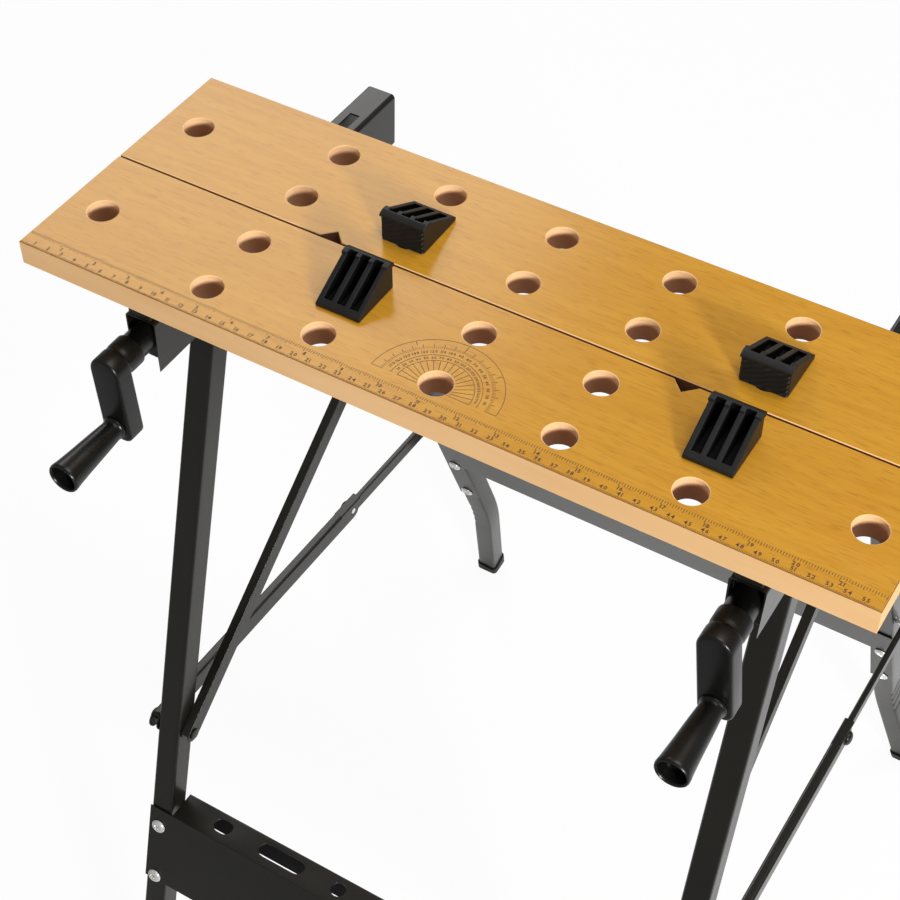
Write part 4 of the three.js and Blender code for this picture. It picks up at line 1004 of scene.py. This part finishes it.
def round_bends(bm, pivot, along, radius, start, end):
    """Rounds the bends between a link's top and its sides, from start to end along it."""
    up = Vector((1, 0, 0)).cross(along)
    bm.normal_update()
    bends = []
    for edge in bm.edges:
        normals = [face.normal for face in edge.link_faces]
        is_top = any(normal.dot(up) > SQUARE_TO for normal in normals)
        is_side = any(abs(normal.x) > SQUARE_TO for normal in normals)
        place = (edge.verts[0].co + edge.verts[1].co) / 2 - pivot
        in_range = start < place.dot(along) < end
        above_holes = place.dot(up) > 0
        if is_top and is_side and in_range and above_holes:
            bends.append(edge)
    bmesh.ops.bevel(bm, geom=bends, offset=radius, segments=SHEET_BEND_STEPS,
                    profile=ROUND_PROFILE, affect="EDGES")


def add_brace(side):
    """Both halves of a folding brace, with the round bends of folded sheet."""
    node = "brace_front_" + side
    low, along, length = link_line("low_pivot_bolt_" + side, "knee_rivet_" + side)
    tail = length - BRACE_TAIL_LENGTH
    bm = copied_sheet(node)
    bmesh.ops.bisect_plane(bm, geom=[*bm.verts, *bm.edges, *bm.faces], dist=WELD,
                           plane_co=low + along * tail, plane_no=along)
    round_bends(bm, low, along, BRACE_BEND, 0, tail)
    round_bends(bm, low, along, BRACE_TAIL_BEND, tail + BRACE_BEND, length + BRACE_TAIL_LENGTH)
    finish_mesh(node + "_sheet", bm, node, "steel", [node], bevel=SHEET_EDGE)

    node = "brace_rear_" + side
    knee, along, length = link_line("knee_rivet_" + side, "brace_pin_" + side)
    bm = copied_sheet(node)
    round_bends(bm, knee, along, REAR_HALF_BEND, 0, length)
    finish_mesh(node + "_sheet", bm, node, "steel", [node], bevel=SHEET_EDGE)


# Bolts, rivets and screws. Each list of pairs is (radius, distance along the axis).

BOLT_DOME = [(0, 0), (2.2, 0.12), (3.8, 0.6), (5.0, 1.4), (5.75, 2.3), (5.95, 2.9), (5.95, 3.45)]
BOLT_RADIUS, BOLT_TIP_RADIUS, BOLT_CHAMFER, BOLT_STEPS = 3.0, 2.5, 0.5, 36
FLAT_TAIL = [(4.6, 0), (4.5, 0.7), (3.2, 1.2), (0, 1.3)]
NUT = [(5.2, 0), (5.77, 0.4), (5.77, 3.4), (5.1, 3.85)]
NUT_HEIGHT, NUT_SIDES = 4.0, 6


def add_cross_bolt(node, body, tail="peened", paint="zinc", head_paint=None):
    """A domed bolt or rivet along X, with its head at the thicker end of its CAD node. tail is peened,
    flat or nut, and head_paint is a paint for the half with the head."""
    low, high = extent(node)
    centre = (low + high) / 2
    radius = {True: 0, False: 0}
    for vertex in nodes[node].data.vertices:
        place = vertex.co / MM
        is_low = place.x < centre.x
        radius[is_low] = max(radius[is_low], math.hypot(place.y - centre.y, place.z - centre.z))
    head_low = radius[True] > radius[False]
    head, tip = (low.x, high.x) if head_low else (high.x, low.x)
    way = 1 if head_low else -1
    length = abs(tip - head)
    seat = length - NUT_HEIGHT
    home = Matrix.Translation((head, centre.y, centre.z)) @ turned(-90 * way, "Z")
    profile = [*BOLT_DOME, (BOLT_RADIUS, BOLT_DOME[-1][1])]
    if tail == "flat":
        profile += [(BOLT_RADIUS, seat), *shifted(FLAT_TAIL, seat)]
    else:
        profile += [(BOLT_RADIUS, length - BOLT_CHAMFER), (BOLT_TIP_RADIUS, length), (0, length)]
    bm = bmesh.new()
    add_lathe(bm, profile, BOLT_STEPS, home)
    if tail == "nut":
        add_lathe(bm, capped(shifted(NUT, seat)), NUT_SIDES, home)
    paints = paint
    if head_paint:
        paints = [paint, head_paint]
        for face in bm.faces:
            on_head = (face.calc_center_median().x - centre.x) * way < 0
            face.material_index = 1 if on_head else 0
    finish_mesh(node + "_bolt", bm, body, paints, [node], smooth=32)


HEAD_FLAT, HEAD_FACE = 2.9, 0.05
SCREW_HEAD = [(HEAD_FLAT, HEAD_FACE), (3.6, 0.2), (4.6, 0.62), (5.4, 1.2),
              (5.85, 1.9), (5.9, 2.35), (5.7, 2.7)]
SCREW_SHANK = [(1.95, 2.7), (1.95, 11.4), (1.2, 12.0), (0, 12.0)]
SCREW_STEPS, SCREW_TURN = 48, 25
RECESS_RINGS = (0.5, 0.9, 1.3, 1.7, 2.1, 2.5)
RECESS_DEPTH, RECESS_HALF, RECESS_REACH = 1.5, 0.62, 2.7
RECESS_WALL, RECESS_END = 0.35, 0.9
CROWN_WITHIN = 0.05
STEP_TILT = -14.95


def cross_recess(x, z):
    """Depth of a cross-shaped driver recess, with sloping walls."""
    across, along = min(abs(x), abs(z)), max(abs(x), abs(z))
    wall = (RECESS_HALF - across) / RECESS_WALL
    end = (RECESS_REACH - along) / RECESS_END
    return RECESS_DEPTH * max(0, min(1, wall, end))


def add_panel_screw(node, body, tilt):
    """A pan-head screw with a cross recess, square to the tilted panel."""
    lean = turned(tilt, "X")
    out = lean.to_3x3() @ Vector((0, -1, 0))
    points = [v.co / MM for v in nodes[node].data.vertices]
    reach = max(p.dot(out) for p in points)
    tops = [p for p in points if reach - p.dot(out) < CROWN_WITHIN]
    crown = sum(tops, Vector()) / len(tops)
    home = Matrix.Translation(crown) @ lean @ turned(SCREW_TURN, "Y")
    rings = [(radius, HEAD_FACE) for radius in RECESS_RINGS]
    bm = bmesh.new()
    add_lathe(bm, [(0, RECESS_DEPTH), *rings, *SCREW_HEAD, *SCREW_SHANK], SCREW_STEPS)
    for v in bm.verts:
        if 0 < math.hypot(v.co.x, v.co.z) < HEAD_FLAT and v.co.y < RECESS_DEPTH:
            v.co.y += cross_recess(v.co.x, v.co.z)
    bm.transform(home)
    finish_mesh(node + "_head", bm, body, "screw", [node], smooth=32)


# Everything else keeps its CAD shape, with its edges rounded, but for the step's deeper lip

STEEL_EDGE, STEP_EDGE, PLATE_EDGE, NUT_EDGE, PLASTIC_EDGE = 0.25, 0.3, 0.3, 0.4, 0.8
EDGE_STEPS, PLASTIC_STEPS = 2, 3
NODE_WELD = 2e-6
STEP_SHEET, STEP_LIP, STEP_LIP_DROP, STEP_LIP_MARGIN = 1.6, 21.0, 11.0, 1.0
FACING_FRONT = -0.5


def weld_and_soften(piece, width, steps):
    weld = piece.modifiers.new("weld", "WELD")
    weld.merge_threshold = NODE_WELD
    soften(piece, width, steps)


def dress(node, paint, width, steps=EDGE_STEPS):
    """Paints a CAD node's own mesh and rounds its edges."""
    piece = nodes[node]
    piece.data.materials.clear()
    piece.data.materials.append(MATERIALS[paint])
    weld_and_soften(piece, width, steps)


def add_step():
    """The step's sheet, with a deeper lip behind its slots."""
    mesh = nodes["step_panel"].data.copy()
    high = extent("step_panel")[1]
    lip_y, lip_z = high.y - STEP_SHEET, high.z - STEP_LIP + STEP_LIP_MARGIN
    for vertex in mesh.vertices:
        if vertex.co.y / MM > lip_y and vertex.co.z / MM < lip_z:
            vertex.co.z -= STEP_LIP_DROP * MM
    mesh.materials.clear()
    for paint in ("steel", "recess"):
        mesh.materials.append(MATERIALS[paint])
    # The lip's inner faces towards the front take the near-black plastic: painted shade
    for face in mesh.polygons:
        inside = face.normal.y < FACING_FRONT and face.center.y / MM > lip_y
        face.material_index = SHADED_HOLLOW if inside else SKIN
    piece = bpy.data.objects.new("step_sheet", mesh)
    scene.collection.objects.link(piece)
    weld_and_soften(piece, STEP_EDGE, EDGE_STEPS)
    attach(piece, "front_frame")
    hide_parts("step_panel")


add_camera()
add_stage()
add_softbox("front", place=(1.9, -1.62, 1.45), target=(0, -0.05, 0.75), size=0.4, watts=60)
add_softbox("sheen", place=(-2.0, 1.95, 2.5), target=(0, 0, 0.8), size=2.1, watts=30)
add_softbox("overhead", place=(0.7, 0.5, 3.2), target=(0, 0, 0.6), size=2.0, watts=35)

add_jaw("front_jaw", "top", HOLE_SHIFT + NOTCH_OFFSET, True)
add_jaw("rear_jaw", "sliding_jaw", HOLE_SHIFT - NOTCH_OFFSET, False)
add_ruler()
add_protractor()
for side in SIDES:
    add_dog("front_dog_" + side)
    add_dog("rear_dog_" + side)
    add_crank(side)
    add_clamp_screw(side)
    add_cross_bolt("front_pivot_bolt_" + side, "top", "nut")
    add_cross_bolt("rear_pivot_bolt_" + side, "top", "nut")
    add_cross_bolt("low_pivot_bolt_" + side, "front_frame", "flat", "steel")
    add_cross_bolt("strut_rivet_" + side, "strut_" + side)
    add_cross_bolt("knee_rivet_" + side, "brace_front_" + side, head_paint="steel")
    add_cross_bolt("brace_pin_" + side, "brace_rear_" + side)
    for number in ("1", "2"):
        add_panel_screw(f"step_screw_{side}_{number}", "front_frame", STEP_TILT)
        add_panel_screw(f"crossbar_screw_{side}_{number}", "rear_legs", REAR_TILT)
    add_rear_leg(side)
    add_brace(side)
    for name in ("channel", "front_leg", "strut"):
        dress(f"{name}_{side}", "steel", STEEL_EDGE)
    for name in ("front_block", "slide_block", "front_foot", "rear_foot"):
        dress(f"{name}_{side}", "matte", PLASTIC_EDGE, PLASTIC_STEPS)
    dress("end_plate_" + side, "gloss", PLATE_EDGE)
    dress("travelling_nut_" + side, "zinc", NUT_EDGE)
add_step()
dress("crossbar", "steel", STEP_EDGE)

scene.view_settings.view_transform = "Standard"
